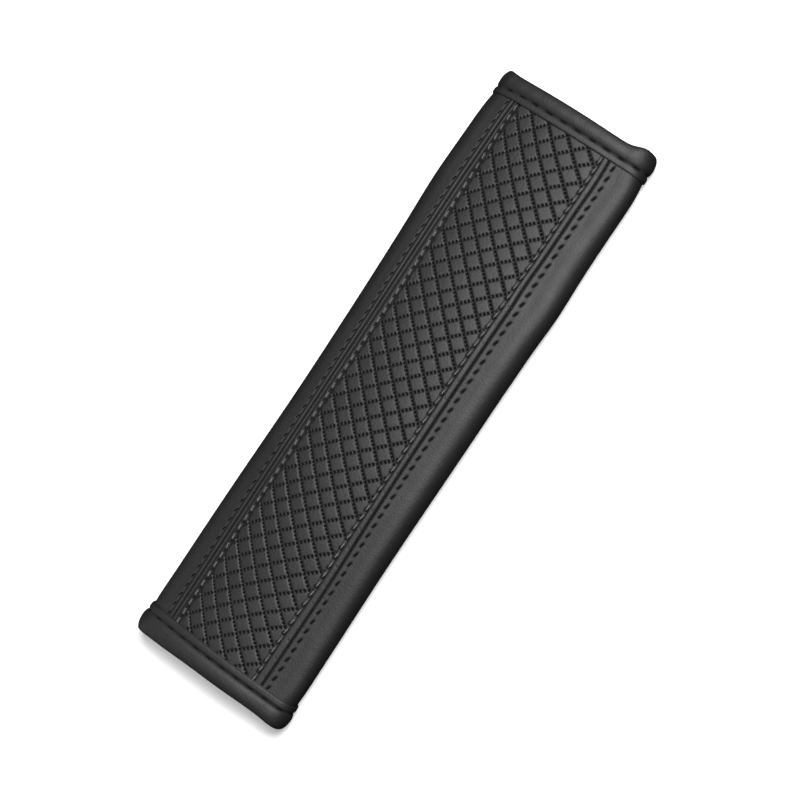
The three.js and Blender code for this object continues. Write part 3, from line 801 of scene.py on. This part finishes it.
def make_binding(name, end):
    """One end binding: a fold of leather round the sleeve's end, carried round it from flap to flap.
    The outside leg has a flat lip, the line where it is sewn and a puffed part that turns over the
    end; the inside leg lies on the lining."""
    width = END_WIDTH[name]
    row = width - LIP[name]
    outside = [
        (-0.3, width - 0.4), (-0.35, width - 0.05), (-0.85, width + 0.1), (-1.25, width - 0.35),
        (-1.3, row + 1.4), (-1.1, row + 0.45), (-1.0, row), (-1.25, row - 0.5), (-1.65, row - 1.3),
        (-1.95, row - 2.5), (-1.95, row * 0.42), (-1.6, row * 0.2), (-0.9, 0.25), (0.2, -0.1),
    ]
    s = steps(LEFT_TIP, 0.5, RIGHT_TIP)
    wall = over_foam(s, WALL, max(FLAP_WALL, HEM))
    rings = []
    for depth in (FLAP_WALL, WALL):
        under = depth + BINDING_INNER_GAP + BINDING_INNER
        inner = [
            (under - 1.4, 0.2), (under - 0.3, 0.9), (under, 2.4), (under, BINDING_INNER_WIDTH - 0.5),
            (under - BINDING_INNER / 2, BINDING_INNER_WIDTH),
            (under - BINDING_INNER, BINDING_INNER_WIDTH - 0.5),
            (under - BINDING_INNER, 2.0), (under - BINDING_INNER - 0.4, BINDING_WEB + 0.1),
            (0.2, BINDING_WEB), (-0.25, BINDING_WEB + 0.4),
        ]
        rings.append(smooth_loop(outside + inner, 4))
    share = ((wall - FLAP_WALL) / (WALL - FLAP_WALL))[:, None]
    inset = rings[0][None, :, 0] * (1 - share) + rings[1][None, :, 0] * share
    from_end = rings[0][None, :, 1] + 0 * inset
    droop = binding_droop(name, s)[:, None]
    from_end = from_end + droop * smooth_step(from_end, 2, row)
    dash = binding_dash(s)[:, None]
    upper = smooth_step(-inset, 0.3, 0.9)
    sewn = row + droop
    lip = upper * smooth_step(from_end, sewn, width + droop)
    inset = inset + LIP_SINK * hump(np.abs(s), 41, 9)[:, None] * lip
    sunk = upper * hump(from_end, sewn, 0.42) * (SEWN_LINE[name] + DASH[name] * dash)
    inset = inset + sunk - upper * hump(from_end, row * 0.45, 2.0) * PUFF * (1 - dash)
    mouth = inset.mean(1, keepdims=True)
    ends = np.minimum(s - LEFT_TIP, RIGHT_TIP - s)[:, None]
    shrink = np.sqrt(1 - np.clip(1 - ends / 1.0, 0, 1) ** 2) * 0.5 + 0.5
    inset = mouth + (inset - mouth) * shrink
    grid_s = s[:, None] + 0 * inset
    y = end * (LENGTH / 2 - from_end)
    girth = np.linspace(0, 1, inset.shape[1])[None, :] * 25
    uv = surface_uv(grid_s, girth + 0 * inset)
    # The sewn line's mark, by which the leather paints shade in its dimples
    marks = {"pressed": np.clip(sunk / FULL_CREASE_SHADE, 0, 1)}
    return tube_of_rings(f"{name}_binding", place(grid_s, y, inset), uv, marks=marks)


def thread_tubes(name, s, y, inset, around, sides=6):
    """Short threads: arrays of centres, one row to a stitch. The section's circle lies across the row,
    in inset and in s for a row along y, or in y for a row along s, and thins towards the ends."""
    stitches, stations = s.shape
    turn = np.arange(sides) * 2 * math.pi / sides
    t = np.linspace(-1, 1, stations)[None, :, None]
    radius = sizes().thread / MM * (1 - 0.35 * t**4)
    sideways, depth = radius * np.cos(turn), radius * np.sin(turn)
    grid = [a[:, :, None] + 0 * sideways for a in (s, y, inset)]
    grid[around] = grid[around] + sideways
    grid[2] = grid[2] + depth
    points = place(*grid)
    per_stitch = stations * sides
    faces = ring_faces(stations, sides)
    ends = np.stack([np.arange(sides)[::-1], np.arange(sides) + per_stitch - sides])
    offset = (np.arange(stitches) * per_stitch)[:, None, None]
    made = [(faces[None] + offset).reshape(-1, 4), (ends[None] + offset).reshape(-1, sides)]
    uv = np.stack([t * 0.5 + 0.5 + 0 * points[..., 0], (turn / (2 * math.pi)) + 0 * points[..., 0]], -1)
    return make_mesh(name, points, made, uv)


def long_row(name, row, end, bed, arch, facing=1, lean=STITCH_LEAN, reach=1.3, path=None):
    """Stitches along the sleeve at distance row, or at the distance that path gives for y. Each rises
    from its hole, lies in its dimple at the depth bed, and dives again; facing is -1 for a row on the
    lining's side."""
    pitch = sizes().stitch / MM
    count = math.floor(end / pitch)
    centres = np.arange(-count, count + 1) * pitch
    t = np.linspace(-1, 1, 8)[None, :]
    y = centres[:, None] + reach * t * math.cos(lean)
    s = (path(y) if path else row) + reach * t * math.sin(lean) + 0 * y
    inset = bed - facing * arch * (1 - np.abs(t) ** 3.0) + facing * 0.55 * np.abs(t) ** 6 + 0 * y
    return thread_tubes(name, s, y, inset, 0)


def binding_row(name, end):
    """Stitches round an end binding, one in each dimple of its sewn line."""
    pitch = binding_pitch()
    first, last = math.ceil((LEFT_TIP + 4) / pitch), math.floor((RIGHT_TIP - 4) / pitch)
    centres = np.arange(first, last + 1) * pitch + BINDING_FIRST
    t = np.linspace(-1, 1, 8)[None, :]
    s = centres[:, None] + 0.22 * pitch * t
    inset = -0.55 - 0.2 * (1 - t**4) + 0.5 * t**6 + 0 * s
    droop = binding_droop(name, s)
    y = end * (LENGTH / 2 - END_WIDTH[name] + LIP[name] - droop)
    return thread_tubes(f"{name}_binding_row", s, y, inset, 1)


def make_tape(name, middle, inset):
    """A flat tape of even thickness along the back, with slightly rounded edges."""
    low, high = middle - TAPE_HALF, middle + TAPE_HALF
    s = steps(low, 0.4, low + 0.8, 2.0, high - 0.8, 0.4, high)

    def rounded(s):
        return seam_round(TAPE_HALF - np.abs(s - middle), 0.4, 0.4)

    def outside(s, y):
        return inset + rounded(s) + 0 * y

    def inside(s, y):
        return inset + TAPE - rounded(s) + 0 * y

    return sheet_of(name, s, outside, s, inside, steps(-TAPE_END, 3.0, TAPE_END))


def make_foam():
    """The padding: one sheet, thinner under the seams' folded allowances."""
    s = steps(LEFT_FOAM_EDGE, 1.6, RIGHT_STEP)

    def outside(s, y):
        out = np.abs(s)
        centre = 1 - smooth_step(out, SEAM - 4.6, SEAM - 4.2)
        hem = smooth_step(out, SEAM - 4.6, SEAM - 4.2) * (1 - smooth_step(out, SEAM + 4.2, SEAM + 4.6))
        extra = centre * (QUILT - LEATHER) + hem * (HEM - LEATHER)
        return FOAM_OUT + extra + 0 * y

    return sheet_of("padding", s, outside, s, even(FOAM_IN), steps(-LAYER_END, 3.0, LAYER_END))


def make_lining():
    """The cloth on the belt's side, over the foam and down to both flaps' hems."""
    s = steps(LEFT_TIP + HEM_WIDTH + LAYER_GAP, 1.2, RIGHT_TIP - HEM_WIDTH - LAYER_GAP)

    def outside(s, y):
        return over_foam(s, LINING_OUT, FLAP_LINING_OUT) + 0 * y

    def inside(s, y):
        return over_foam(s, WALL, FLAP_WALL) + 0 * y

    return sheet_of("belt_lining", s, outside, s, inside, steps(-LAYER_END, 2.5, LAYER_END))


def node(tree, kind, inputs=None, **settings):
    """A shader node with its settings, and its inputs set to values or linked to sockets."""
    made = tree.nodes.new(kind)
    for key, value in settings.items():
        setattr(made, key, value)
    for key, value in (inputs or {}).items():
        if isinstance(value, bpy.types.NodeSocket):
            tree.links.new(value, made.inputs[key])
        else:
            made.inputs[key].default_value = value
    return made


def calc(tree, operation, *values):
    """The result of a Math node."""
    return node(tree, "ShaderNodeMath", dict(enumerate(values)), operation=operation).outputs[0]


def start_material(name):
    """A material with a Principled shader, its node tree, and Object and UV coordinates."""
    material = bpy.data.materials.get(name) or bpy.data.materials.new(name)
    material.use_nodes = True
    tree = material.node_tree
    tree.nodes.clear()
    shader = node(tree, "ShaderNodeBsdfPrincipled")
    output = node(tree, "ShaderNodeOutputMaterial", {"Surface": shader.outputs[0]})
    output.is_active_output = True
    where = node(tree, "ShaderNodeTexCoord")
    return material, tree, shader, where


def varied_colour(tree, where, colour, scale, spread):
    """A colour that drifts lighter and darker in soft patches."""
    patches = node(tree, "ShaderNodeTexNoise", {"Vector": where, "Scale": scale, "Detail": 4.0})
    light = [min(1, c * (1 + spread)) for c in colour] + [1]
    dark = [c * (1 - spread) for c in colour] + [1]
    ramp = node(tree, "ShaderNodeValToRGB", {0: patches.outputs[0]})
    ramp.color_ramp.elements[0].position, ramp.color_ramp.elements[0].color = 0.35, dark
    ramp.color_ramp.elements[1].position, ramp.color_ramp.elements[1].color = 0.65, light
    return ramp.outputs[0]


def map_range(tree, value, low, high, to_low=0.0, to_high=1.0, **settings):
    """A value's place between low and high, carried over to the range from to_low to to_high."""
    ends = {"From Min": low, "From Max": high, "To Min": to_low, "To Max": to_high}
    return node(tree, "ShaderNodeMapRange", {"Value": value, **ends}, **settings).outputs[0]


def scaled(tree, colour, factor):
    """A colour times a factor."""
    return node(tree, "ShaderNodeVectorMath", {0: colour, "Scale": factor}, operation="SCALE").outputs[0]


def pit_mask(tree, where):
    """What the lattice needs of the surface's UV, in its own counts: a mask that is 1 in the pits that
    dot the pressed lines, by which the leather paints shade in the pits, the fine height of the pits,
    which are cones, and of the shoulders beside the lines that fall to the right, and a number for each
    tile. A pit is an ellipse along those lines."""
    split = node(tree, "ShaderNodeSeparateXYZ", {0: where.outputs["UV"]})
    across, along = sizes().diamond_width / MM, sizes().diamond_length / MM
    spacing = lattice(0.0, 0.0)[2]
    columns, rows = (
        calc(tree, "MULTIPLY_ADD", at, UV_SPAN / size, -(UV_SPAN / 2 + middle) / size)
        for at, size, middle in zip(split.outputs, (across, along), LATTICE_MIDDLE)
    )
    u, v = calc(tree, "ADD", columns, rows), calc(tree, "SUBTRACT", columns, rows)
    squares = []
    for line, run, half_across, half_along in ((u, v, PIT_WIDTH, PIT_LENGTH), (v, u, PIT_LENGTH, PIT_WIDTH)):
        aside = calc(tree, "MULTIPLY", calc(tree, "PINGPONG", line, 0.5), spacing / half_across)
        counted = calc(tree, "MULTIPLY", run, float(PITS))
        ahead = calc(tree, "MULTIPLY", calc(tree, "PINGPONG", counted, 0.5), spacing / PITS / half_along)
        squares.append(calc(tree, "MULTIPLY_ADD", aside, aside, calc(tree, "MULTIPLY", ahead, ahead)))
    square = calc(tree, "MINIMUM", *squares)
    mask = map_range(tree, square, 0.6, 1.35, 1.0, 0.0, interpolation_type="SMOOTHSTEP")
    cone = map_range(tree, calc(tree, "SQRT", square), 0.0, 1.15, -1.0, 0.0)
    from_line = calc(tree, "MULTIPLY", calc(tree, "PINGPONG", u, 0.5), spacing)
    faint, full = (0.5 - below / UV_SPAN for below in (FAINT_BELOW, FULL_ABOVE))
    fade = map_range(tree, split.outputs[1], faint, full, 0.4)
    shoulder = map_range(tree, from_line, SHOULDER_FROM, SHOULDER_TO, 0.0, SHOULDER / PIT_CONE)
    height = calc(tree, "MULTIPLY_ADD", shoulder, fade, cone)
    tile = node(tree, "ShaderNodeCombineXYZ", {0: calc(tree, "FLOOR", u), 1: calc(tree, "FLOOR", v)})
    inside = node(tree, "ShaderNodeAttribute", attribute_name="quilted").outputs["Fac"]
    return calc(tree, "MULTIPLY", mask, inside), calc(tree, "MULTIPLY", height, inside), tile.outputs[0]


def painted_shade(tree, colour, mask):
    """Painted shade: a colour that is nearly black where the mask is 1."""
    return scaled(tree, colour, calc(tree, "MULTIPLY_ADD", mask, -0.95, 1.0))


LEATHER_SPECULAR = 0.61
LEATHER_ROUGHNESS = 0.62


def add_relief(tree, shader, height, strength, depth):
    """Gives a shader the relief of a height, whose depth is in metres."""
    bump = node(tree, "ShaderNodeBump", {"Height": height, "Strength": strength, "Distance": depth})
    tree.links.new(bump.outputs[0], shader.inputs["Normal"])


def leather_material(name, colour, quilted=False):
    """Coated leather: fine pebbled grain with creases between the pebbles, and a broad low sheen. The
    quilted one also has pits along its pressed lines, in which the colour is painted nearly black as
    shade, and tiles that differ a little. In narrow creases and holes, by the pressed mark, the colour is
    darkened as painted shade too."""
    material, tree, shader, where = start_material(name)
    place_at = where.outputs["Object"]
    base = varied_colour(tree, place_at, colour, 60.0, 0.12)
    pebbles = node(tree, "ShaderNodeTexVoronoi", {"Vector": place_at, "Scale": 1400.0}, feature="SMOOTH_F1")
    fine = node(tree, "ShaderNodeTexNoise", {"Vector": place_at, "Scale": 3000.0, "Detail": 3.0})
    soft = node(tree, "ShaderNodeTexNoise", {"Vector": place_at, "Scale": 130.0, "Detail": 2.0})
    height = calc(tree, "MULTIPLY", pebbles.outputs["Distance"], -1.0)
    height = calc(tree, "MULTIPLY_ADD", fine.outputs[0], 0.6, height)
    height = calc(tree, "MULTIPLY_ADD", soft.outputs[0], 1.4, height)
    normal = node(tree, "ShaderNodeBump", {"Height": height, "Strength": 0.55, "Distance": 0.00014})
    rough = LEATHER_ROUGHNESS
    gloss = map_range(tree, soft.outputs[0], 0.0, 1.0, rough - 0.05, rough + 0.05)
    speckle = node(tree, "ShaderNodeTexNoise", {"Vector": place_at, "Scale": 1300.0, "Detail": 2.0})
    base = scaled(tree, base, calc(tree, "MULTIPLY_ADD", speckle.outputs[0], 1.2, 0.4))
    # The pressed mark, by which the colour is darkened as painted shade in narrow creases and holes
    dark = node(tree, "ShaderNodeAttribute", attribute_name="pressed").outputs["Fac"]
    if quilted:
        mask, height, tile = pit_mask(tree, where)
        normal = node(
            tree, "ShaderNodeBump",
            {"Height": height, "Strength": 1.0, "Distance": PIT_CONE * MM, "Normal": normal.outputs[0]},
        )
        shade = node(tree, "ShaderNodeTexWhiteNoise", {"Vector": tile})
        base = scaled(tree, base, calc(tree, "MULTIPLY_ADD", shade.outputs["Value"], 0.24, 0.88))
        # Painted shade: the colour is nearly black in the pits along the pressed lines
        base = painted_shade(tree, base, mask)
    # Painted shade: the colour is nearly black in narrow creases and holes, which are also made rougher
    base = painted_shade(tree, base, dark)
    gloss = calc(tree, "MULTIPLY_ADD", dark, 1 - rough, gloss)
    tree.links.new(base, shader.inputs["Base Color"])
    tree.links.new(normal.outputs[0], shader.inputs["Normal"])
    tree.links.new(gloss, shader.inputs["Roughness"])
    shader.inputs["Specular IOR Level"].default_value = LEATHER_SPECULAR
    return material


def thread_material(name, colour, roughness=0.5, specular=0.4):
    """Twisted sewing thread: slanted strands along the thread's UV."""
    material, tree, shader, where = start_material(name)
    shader.inputs["Base Color"].default_value = [*colour, 1]
    shader.inputs["Roughness"].default_value = roughness
    shader.inputs["Specular IOR Level"].default_value = specular
    split = node(tree, "ShaderNodeSeparateXYZ", {0: where.outputs["UV"]})
    twist = calc(tree, "MULTIPLY_ADD", split.outputs[0], 9.0, calc(tree, "MULTIPLY", split.outputs[1], 2.0))
    strands = calc(tree, "SINE", calc(tree, "MULTIPLY", twist, 2 * math.pi))
    add_relief(tree, shader, strands, 0.6, 0.00006)
    return material


def cloth_material(name, colour, threads_per_mm=1.4):
    """Knitted cloth: two crossed waves along the surface's UV make its small loops."""
    material, tree, shader, where = start_material(name)
    base = varied_colour(tree, where.outputs["Object"], colour, 300.0, 0.25)
    tree.links.new(base, shader.inputs["Base Color"])
    shader.inputs["Roughness"].default_value = 0.9
    shader.inputs["Sheen Weight"].default_value = 0.2
    split = node(tree, "ShaderNodeSeparateXYZ", {0: where.outputs["UV"]})
    turns = UV_SPAN * threads_per_mm * 2 * math.pi
    across = calc(tree, "SINE", calc(tree, "MULTIPLY", split.outputs[0], turns))
    along = calc(tree, "SINE", calc(tree, "MULTIPLY", split.outputs[1], turns * 0.8))
    add_relief(tree, shader, calc(tree, "MULTIPLY", across, along), 0.7, 0.00015)
    return material


def brushed_material(name, colour, scale):
    """The nap of a hook or loop tape: dense, uneven tufts."""
    material, tree, shader, where = start_material(name)
    place_at = where.outputs["Object"]
    tree.links.new(varied_colour(tree, place_at, colour, scale, 0.5), shader.inputs["Base Color"])
    shader.inputs["Roughness"].default_value = 0.95
    shader.inputs["Sheen Weight"].default_value = 0.3
    tufts = node(tree, "ShaderNodeTexVoronoi", {"Vector": place_at, "Scale": scale})
    add_relief(tree, shader, tufts.outputs["Distance"], 1.0, 0.0005)
    return material


def dress(piece, material, slot, *nodes):
    """Gives a piece its material, and puts it in the frame in place of the nodes that it stands for."""
    piece.data.materials.clear()
    piece.data.materials.append(material)
    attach(piece, "root")
    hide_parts(*nodes)
    return piece


class ShoulderPadSizes(bpy.types.PropertyGroup):
    """Sizes of the pad's surface that a maker would change."""

    diamond_width: FloatProperty(
        name="Diamond Width", description="Corner to corner across the panel",
        default=0.0091, subtype="DISTANCE", unit="LENGTH", precision=4,
    )
    diamond_length: FloatProperty(
        name="Diamond Length", description="Corner to corner along the panel",
        default=0.0088, subtype="DISTANCE", unit="LENGTH", precision=4,
    )
    groove: FloatProperty(
        name="Groove Depth", description="Depth of the pressed lines between the diamonds",
        default=0.0003, subtype="DISTANCE", unit="LENGTH", precision=4,
    )
    stitch: FloatProperty(
        name="Stitch Length", description="Length of one stitch beside the seams",
        default=0.00456, subtype="DISTANCE", unit="LENGTH", precision=4,
    )
    binding_stitch: FloatProperty(
        name="Binding Stitch Length", description="Length of one stitch in the end bindings",
        default=0.007, subtype="DISTANCE", unit="LENGTH", precision=4,
    )
    thread: FloatProperty(
        name="Thread Radius", description="Radius of the sewing thread",
        default=0.0003, subtype="DISTANCE", unit="LENGTH", precision=4,
    )


class ShoulderPadColours(bpy.types.PropertyGroup):
    """Colours of the pad's materials."""

    leather: FloatVectorProperty(
        name="Leather", description="Colour of all the leather", subtype="COLOR",
        size=3, min=0, max=1, default=(0.010, 0.010, 0.0104),
    )
    thread: FloatVectorProperty(
        name="Thread", description="Colour of the sewing thread", subtype="COLOR",
        size=3, min=0, max=1, default=(0.004, 0.004, 0.0042),
    )
    # Painted highlight: a lighter copy of the dark thread colour, so that the rows beside the quilting show
    # bright specks
    painted_highlight_thread: FloatVectorProperty(
        name="Panel Thread", description="Colour of the lighter rows beside the quilting", subtype="COLOR",
        size=3, min=0, max=1, default=(0.11, 0.11, 0.112),
    )
    cloth: FloatVectorProperty(
        name="Lining", description="Colour of the lining and the tapes", subtype="COLOR",
        size=3, min=0, max=1, default=(0.012, 0.012, 0.013),
    )
    floor: FloatVectorProperty(
        name="Floor", description="Colour of the floor under the pad", subtype="COLOR",
        size=3, min=0, max=1, default=(0.9, 0.9, 0.9),
    )


class PadOperator(bpy.types.Operator):
    """Shared options of the pad's operators."""

    bl_options = {"REGISTER", "UNDO"}


class SHOULDER_PAD_OT_quilted_front(PadOperator):
    """Make the quilted centre panel."""

    bl_idname = "shoulder_pad.quilted_front"
    bl_label = "Quilted Front"

    def execute(self, context):
        leather = leather_material("quilted_leather", colours().leather, quilted=True)
        front = dress(make_quilted_front(), leather, "quilted_leather", "quilted_centre_panel")
        return {"FINISHED"}


class SHOULDER_PAD_OT_side_panels(PadOperator):
    """Make the two plain panels that roll round the sides to the closure."""

    bl_idname = "shoulder_pad.side_panels"
    bl_label = "Side Panels"

    def execute(self, context):
        leather = leather_material("side_leather", colours().leather)
        panels = ((make_left_side(), "left_side_panel"), (make_right_side(), "right_side_panel"))
        for made, replaced in panels:
            dress(made, leather, "side_leather", replaced)
        return {"FINISHED"}


class SHOULDER_PAD_OT_end_bindings(PadOperator):
    """Make the folded strips that close the two ends."""

    bl_idname = "shoulder_pad.end_bindings"
    bl_label = "End Bindings"

    def execute(self, context):
        leather = leather_material("binding_leather", colours().leather)
        for name, end in (("top", 1), ("bottom", -1)):
            dress(make_binding(name, end), leather, "binding_leather", f"{name}_end_binding")
        return {"FINISHED"}


class SHOULDER_PAD_OT_padding(PadOperator):
    """Make the foam and the lining on the belt's side."""

    bl_idname = "shoulder_pad.padding"
    bl_label = "Padding and Lining"

    def execute(self, context):
        foam = brushed_material("foam", (0.03, 0.03, 0.032), 900.0)
        dress(make_foam(), foam, "foam", "foam_pad")
        cloth = cloth_material("lining_cloth", colours().cloth)
        dress(make_lining(), cloth, "lining_cloth", "lining")
        return {"FINISHED"}


class SHOULDER_PAD_OT_closure(PadOperator):
    """Make the hook tape and the loop tape between the flaps."""

    bl_idname = "shoulder_pad.closure"
    bl_label = "Closure Tapes"

    def execute(self, context):
        hooks = brushed_material("hook_tape", colours().cloth, 1800.0)
        made = make_tape("hooks", on_outer_flap(0), FLAP_WALL + TAPE_GAP)
        dress(made, hooks, "hook_tape", "hook_tape")
        loops = brushed_material("loop_tape", colours().cloth, 1100.0)
        made = make_tape("loops", on_inner_flap(0), -TAPE_GAP - TAPE)
        dress(made, loops, "loop_tape", "loop_tape")
        return {"FINISHED"}


class SHOULDER_PAD_OT_stitching(PadOperator):
    """Sew every row of stitches."""

    bl_idname = "shoulder_pad.stitching"
    bl_label = "Stitching"

    def execute(self, context):
        dull = thread_material("side_thread", colours().thread, 0.8, 0.1)
        # A lighter, glossier copy of the dark thread: its lighter colour is painted highlight for the rows
        # beside the quilting
        thread_with_painted_highlight = thread_material("painted_highlight_thread", colours().painted_highlight_thread, 0.38, 0.8)
        seam_end = LENGTH / 2 - 9.5
        rows = (
            ("left_side_row", -SIDE_ROW, 0.3, "left_side_topstitch", dull),
            ("left_panel_row", -LEFT_PANEL_ROW, 0.25, "left_panel_topstitch", thread_with_painted_highlight),
            ("right_panel_row", RIGHT_PANEL_ROW, 0.25, "right_panel_topstitch", thread_with_painted_highlight),
            ("right_side_row", SIDE_ROW, 0.72, "right_side_topstitch", dull),
        )
        for name, row, bed, replaced, material in rows:
            if material == thread_with_painted_highlight:
                side = math.copysign(1, row)
                made = long_row(
                    name, row, seam_end, bed, 0.42, lean=side * STITCH_LEAN / 3, reach=1.6,
                    path=lambda y, side=side: side * panel_rows(side + 0 * y, y)[1],
                )
            else:
                made = long_row(name, row, seam_end, bed, 0.3)
            dress(made, material, "thread", replaced)
        for name, sign in (("left", 1), ("right", -1)):
            row = on_outer_flap(sign * (TAPE_ROW - TAPE_HALF))
            made = long_row(f"hook_row_{name}", row, TAPE_END, 0.6, 0.3)
            dress(made, dull, "thread", f"hook_tape_stitch_{name}")
            row = on_inner_flap(sign * (TAPE_ROW - TAPE_HALF))
            made = long_row(f"loop_row_{name}", row, TAPE_END, FLAP_WALL, 0.3, facing=-1)
            dress(made, dull, "thread", f"loop_tape_stitch_{name}")
        for name, end in (("top", 1), ("bottom", -1)):
            dress(binding_row(name, end), dull, "thread", f"{name}_binding_stitch")
        return {"FINISHED"}


# The camera: tilts towards the right side and the top end, turn of the picture, and distance
CAMERA_TILT_X = math.radians(19.9)
CAMERA_TILT_Y = math.radians(3.2)
PICTURE_TURN = math.radians(33.54)
CAMERA_DISTANCE = 1010.0
PICTURE_SCALE = 2.4945
PICTURE_SIZE = 800
PAD_IN_PICTURE = (393.9, 397.8)
SENSOR = 36.0


def make_camera():
    """Looks down at the pad from its right. Its right and up axes are the pad's, turned in the picture."""
    away = Vector(
        (
            math.sin(CAMERA_TILT_X) * math.cos(CAMERA_TILT_Y),
            math.sin(CAMERA_TILT_Y),
            math.cos(CAMERA_TILT_X) * math.cos(CAMERA_TILT_Y),
        )
    )
    pad_right = Vector((0, 1, 0)).cross(away).normalized()
    pad_up = away.cross(pad_right)
    right = pad_right * math.cos(PICTURE_TURN) + pad_up * math.sin(PICTURE_TURN)
    up = pad_up * math.cos(PICTURE_TURN) - pad_right * math.sin(PICTURE_TURN)
    half = PICTURE_SIZE / 2
    across, down = ((half - at) / PICTURE_SCALE for at in PAD_IN_PICTURE)
    target = Vector((0, 0, 12)) + right * across - up * down
    data = bpy.data.cameras.new("camera")
    data.sensor_width = SENSOR
    data.lens = SENSOR * CAMERA_DISTANCE * PICTURE_SCALE / PICTURE_SIZE
    data.clip_start, data.clip_end = 0.01, 50
    camera = add_object("camera", data)
    turn = Matrix((right, up, away)).transposed().to_4x4()
    camera.matrix_world = Matrix.Translation((target + away * CAMERA_DISTANCE) * MM) @ turn
    bpy.context.scene.camera = camera


def make_lamp(name, energy, size, location, target=(0, 0, 0.01)):
    """A square soft lamp that faces its target."""
    data = bpy.data.lights.new(name, "AREA")
    data.shape = "RECTANGLE"
    data.energy, data.size, data.size_y = energy, size, size
    lamp = add_object(name, data)
    lamp.location = location
    lamp.rotation_euler = (Vector(target) - Vector(location)).to_track_quat("-Z", "Y").to_euler()


# How strongly reflections in the leather show the white floor, and the floor's own glow near the pad
# and far from it, with the distances in metres between which it grows
FLOOR_IN_LEATHER = 0.01
FLOOR_GLOW, FAR_GLOW = 0.4, 1.0
WORLD_LIGHT = 0.015
GLOW_FROM, GLOW_TO = 0.35, 1.0


def make_floor():
    """A pale floor that shows white to the camera and keeps the pad's shadow, and throws little light
    back up at the pad."""
    reach = 4000.0
    corners = np.array([(-reach, -reach, 0), (reach, -reach, 0), (reach, reach, 0), (-reach, reach, 0)])
    mesh = bpy.data.meshes.new("floor")
    mesh.from_pydata((corners * MM).tolist(), [], [(0, 1, 2, 3)])
    floor = add_object("floor", mesh)
    material = bpy.data.materials.new("floor")
    material.use_nodes = True
    tree = material.node_tree
    tree.nodes.clear()
    path = node(tree, "ShaderNodeLightPath")
    glossy, camera = path.outputs["Is Glossy Ray"], path.outputs["Is Camera Ray"]
    seen = calc(tree, "MULTIPLY_ADD", glossy, FLOOR_IN_LEATHER, camera)
    seen = calc(tree, "MAXIMUM", seen, path.outputs["Is Transmission Ray"])
    pale = node(tree, "ShaderNodeBsdfDiffuse", {"Color": [*colours().floor, 1]})
    where = node(tree, "ShaderNodeTexCoord").outputs["Object"]
    distance = node(tree, "ShaderNodeVectorMath", {0: where}, operation="LENGTH").outputs["Value"]
    strength = map_range(tree, distance, GLOW_FROM, GLOW_TO, FLOOR_GLOW, FAR_GLOW)
    glow = node(tree, "ShaderNodeEmission", {"Color": [1, 1, 1, 1], "Strength": strength})
    white = node(tree, "ShaderNodeAddShader", {0: pale.outputs[0], 1: glow.outputs[0]})
    dim = node(tree, "ShaderNodeBsdfDiffuse", {"Color": [0.01, 0.01, 0.01, 1]})
    mixed = node(tree, "ShaderNodeMixShader", {0: seen, 1: dim.outputs[0], 2: white.outputs[0]})
    node(tree, "ShaderNodeOutputMaterial", {"Surface": mixed.outputs[0]})
    mesh.materials.append(material)


def make_world():
    """White to the camera, and a low even light on the pad."""
    world = bpy.data.worlds.new("studio")
    bpy.context.scene.world = world
    world.use_nodes = True
    tree = world.node_tree
    tree.nodes.clear()
    path = node(tree, "ShaderNodeLightPath")
    strength = map_range(tree, path.outputs["Is Camera Ray"], 0.0, 1.0, WORLD_LIGHT, 1.0)
    background = node(tree, "ShaderNodeBackground", {"Color": [1, 1, 1, 1], "Strength": strength})
    node(tree, "ShaderNodeOutputWorld", {"Surface": background.outputs[0]})


# Name, power in watts, width, place and target in metres: the soft lamp above and to the right, and a
# weak one low on the left near the bottom end
LAMPS = (
    ("key", 13.4, 0.35, (0.2, 0.27, 0.89)),
    ("fill", 0.09, 0.12, (-0.21, -0.25, 0.09), (-0.03, -0.13, 0.01)),
)


class SHOULDER_PAD_OT_stage(PadOperator):
    """Set up the floor, the soft studio light and the camera."""

    bl_idname = "shoulder_pad.stage"
    bl_label = "Studio Stage"

    def execute(self, context):
        make_floor()
        make_world()
        for lamp in LAMPS:
            make_lamp(*lamp)
        make_camera()
        context.scene.view_settings.view_transform = "Standard"
        return {"FINISHED"}


PIECE_OPERATORS = (
    SHOULDER_PAD_OT_quilted_front,
    SHOULDER_PAD_OT_side_panels,
    SHOULDER_PAD_OT_end_bindings,
    SHOULDER_PAD_OT_padding,
    SHOULDER_PAD_OT_closure,
    SHOULDER_PAD_OT_stitching,
    SHOULDER_PAD_OT_stage,
)


class SHOULDER_PAD_PT_panel(bpy.types.Panel):
    """Lists the sizes, the colours and the steps that make the pad."""

    bl_label = "Shoulder Pad"
    bl_idname = "SHOULDER_PAD_PT_panel"
    bl_space_type = "VIEW_3D"
    bl_region_type = "UI"
    bl_category = "Shoulder Pad"

    def draw(self, context):
        layout = self.layout
        for group in (context.scene.shoulder_pad_sizes, context.scene.shoulder_pad_colours):
            column = layout.column(align=True)
            for key in group.__annotations__:
                column.prop(group, key)
        column = layout.column(align=True)
        for operator in PIECE_OPERATORS:
            column.operator(operator.bl_idname)


CLASSES = (ShoulderPadSizes, ShoulderPadColours, *PIECE_OPERATORS, SHOULDER_PAD_PT_panel)


def register():
    for cls in CLASSES:
        bpy.utils.register_class(cls)
    bpy.types.Scene.shoulder_pad_sizes = PointerProperty(type=ShoulderPadSizes)
    bpy.types.Scene.shoulder_pad_colours = PointerProperty(type=ShoulderPadColours)


def unregister():
    del bpy.types.Scene.shoulder_pad_colours
    del bpy.types.Scene.shoulder_pad_sizes
    for cls in reversed(CLASSES):
        bpy.utils.unregister_class(cls)


def main():
    """Makes the whole pad and its stage."""
    register()
    bpy.ops.shoulder_pad.quilted_front()
    bpy.ops.shoulder_pad.side_panels()
    bpy.ops.shoulder_pad.end_bindings()
    bpy.ops.shoulder_pad.padding()
    bpy.ops.shoulder_pad.closure()
    bpy.ops.shoulder_pad.stitching()
    bpy.ops.shoulder_pad.stage()


if __name__ == "__main__":
    main()
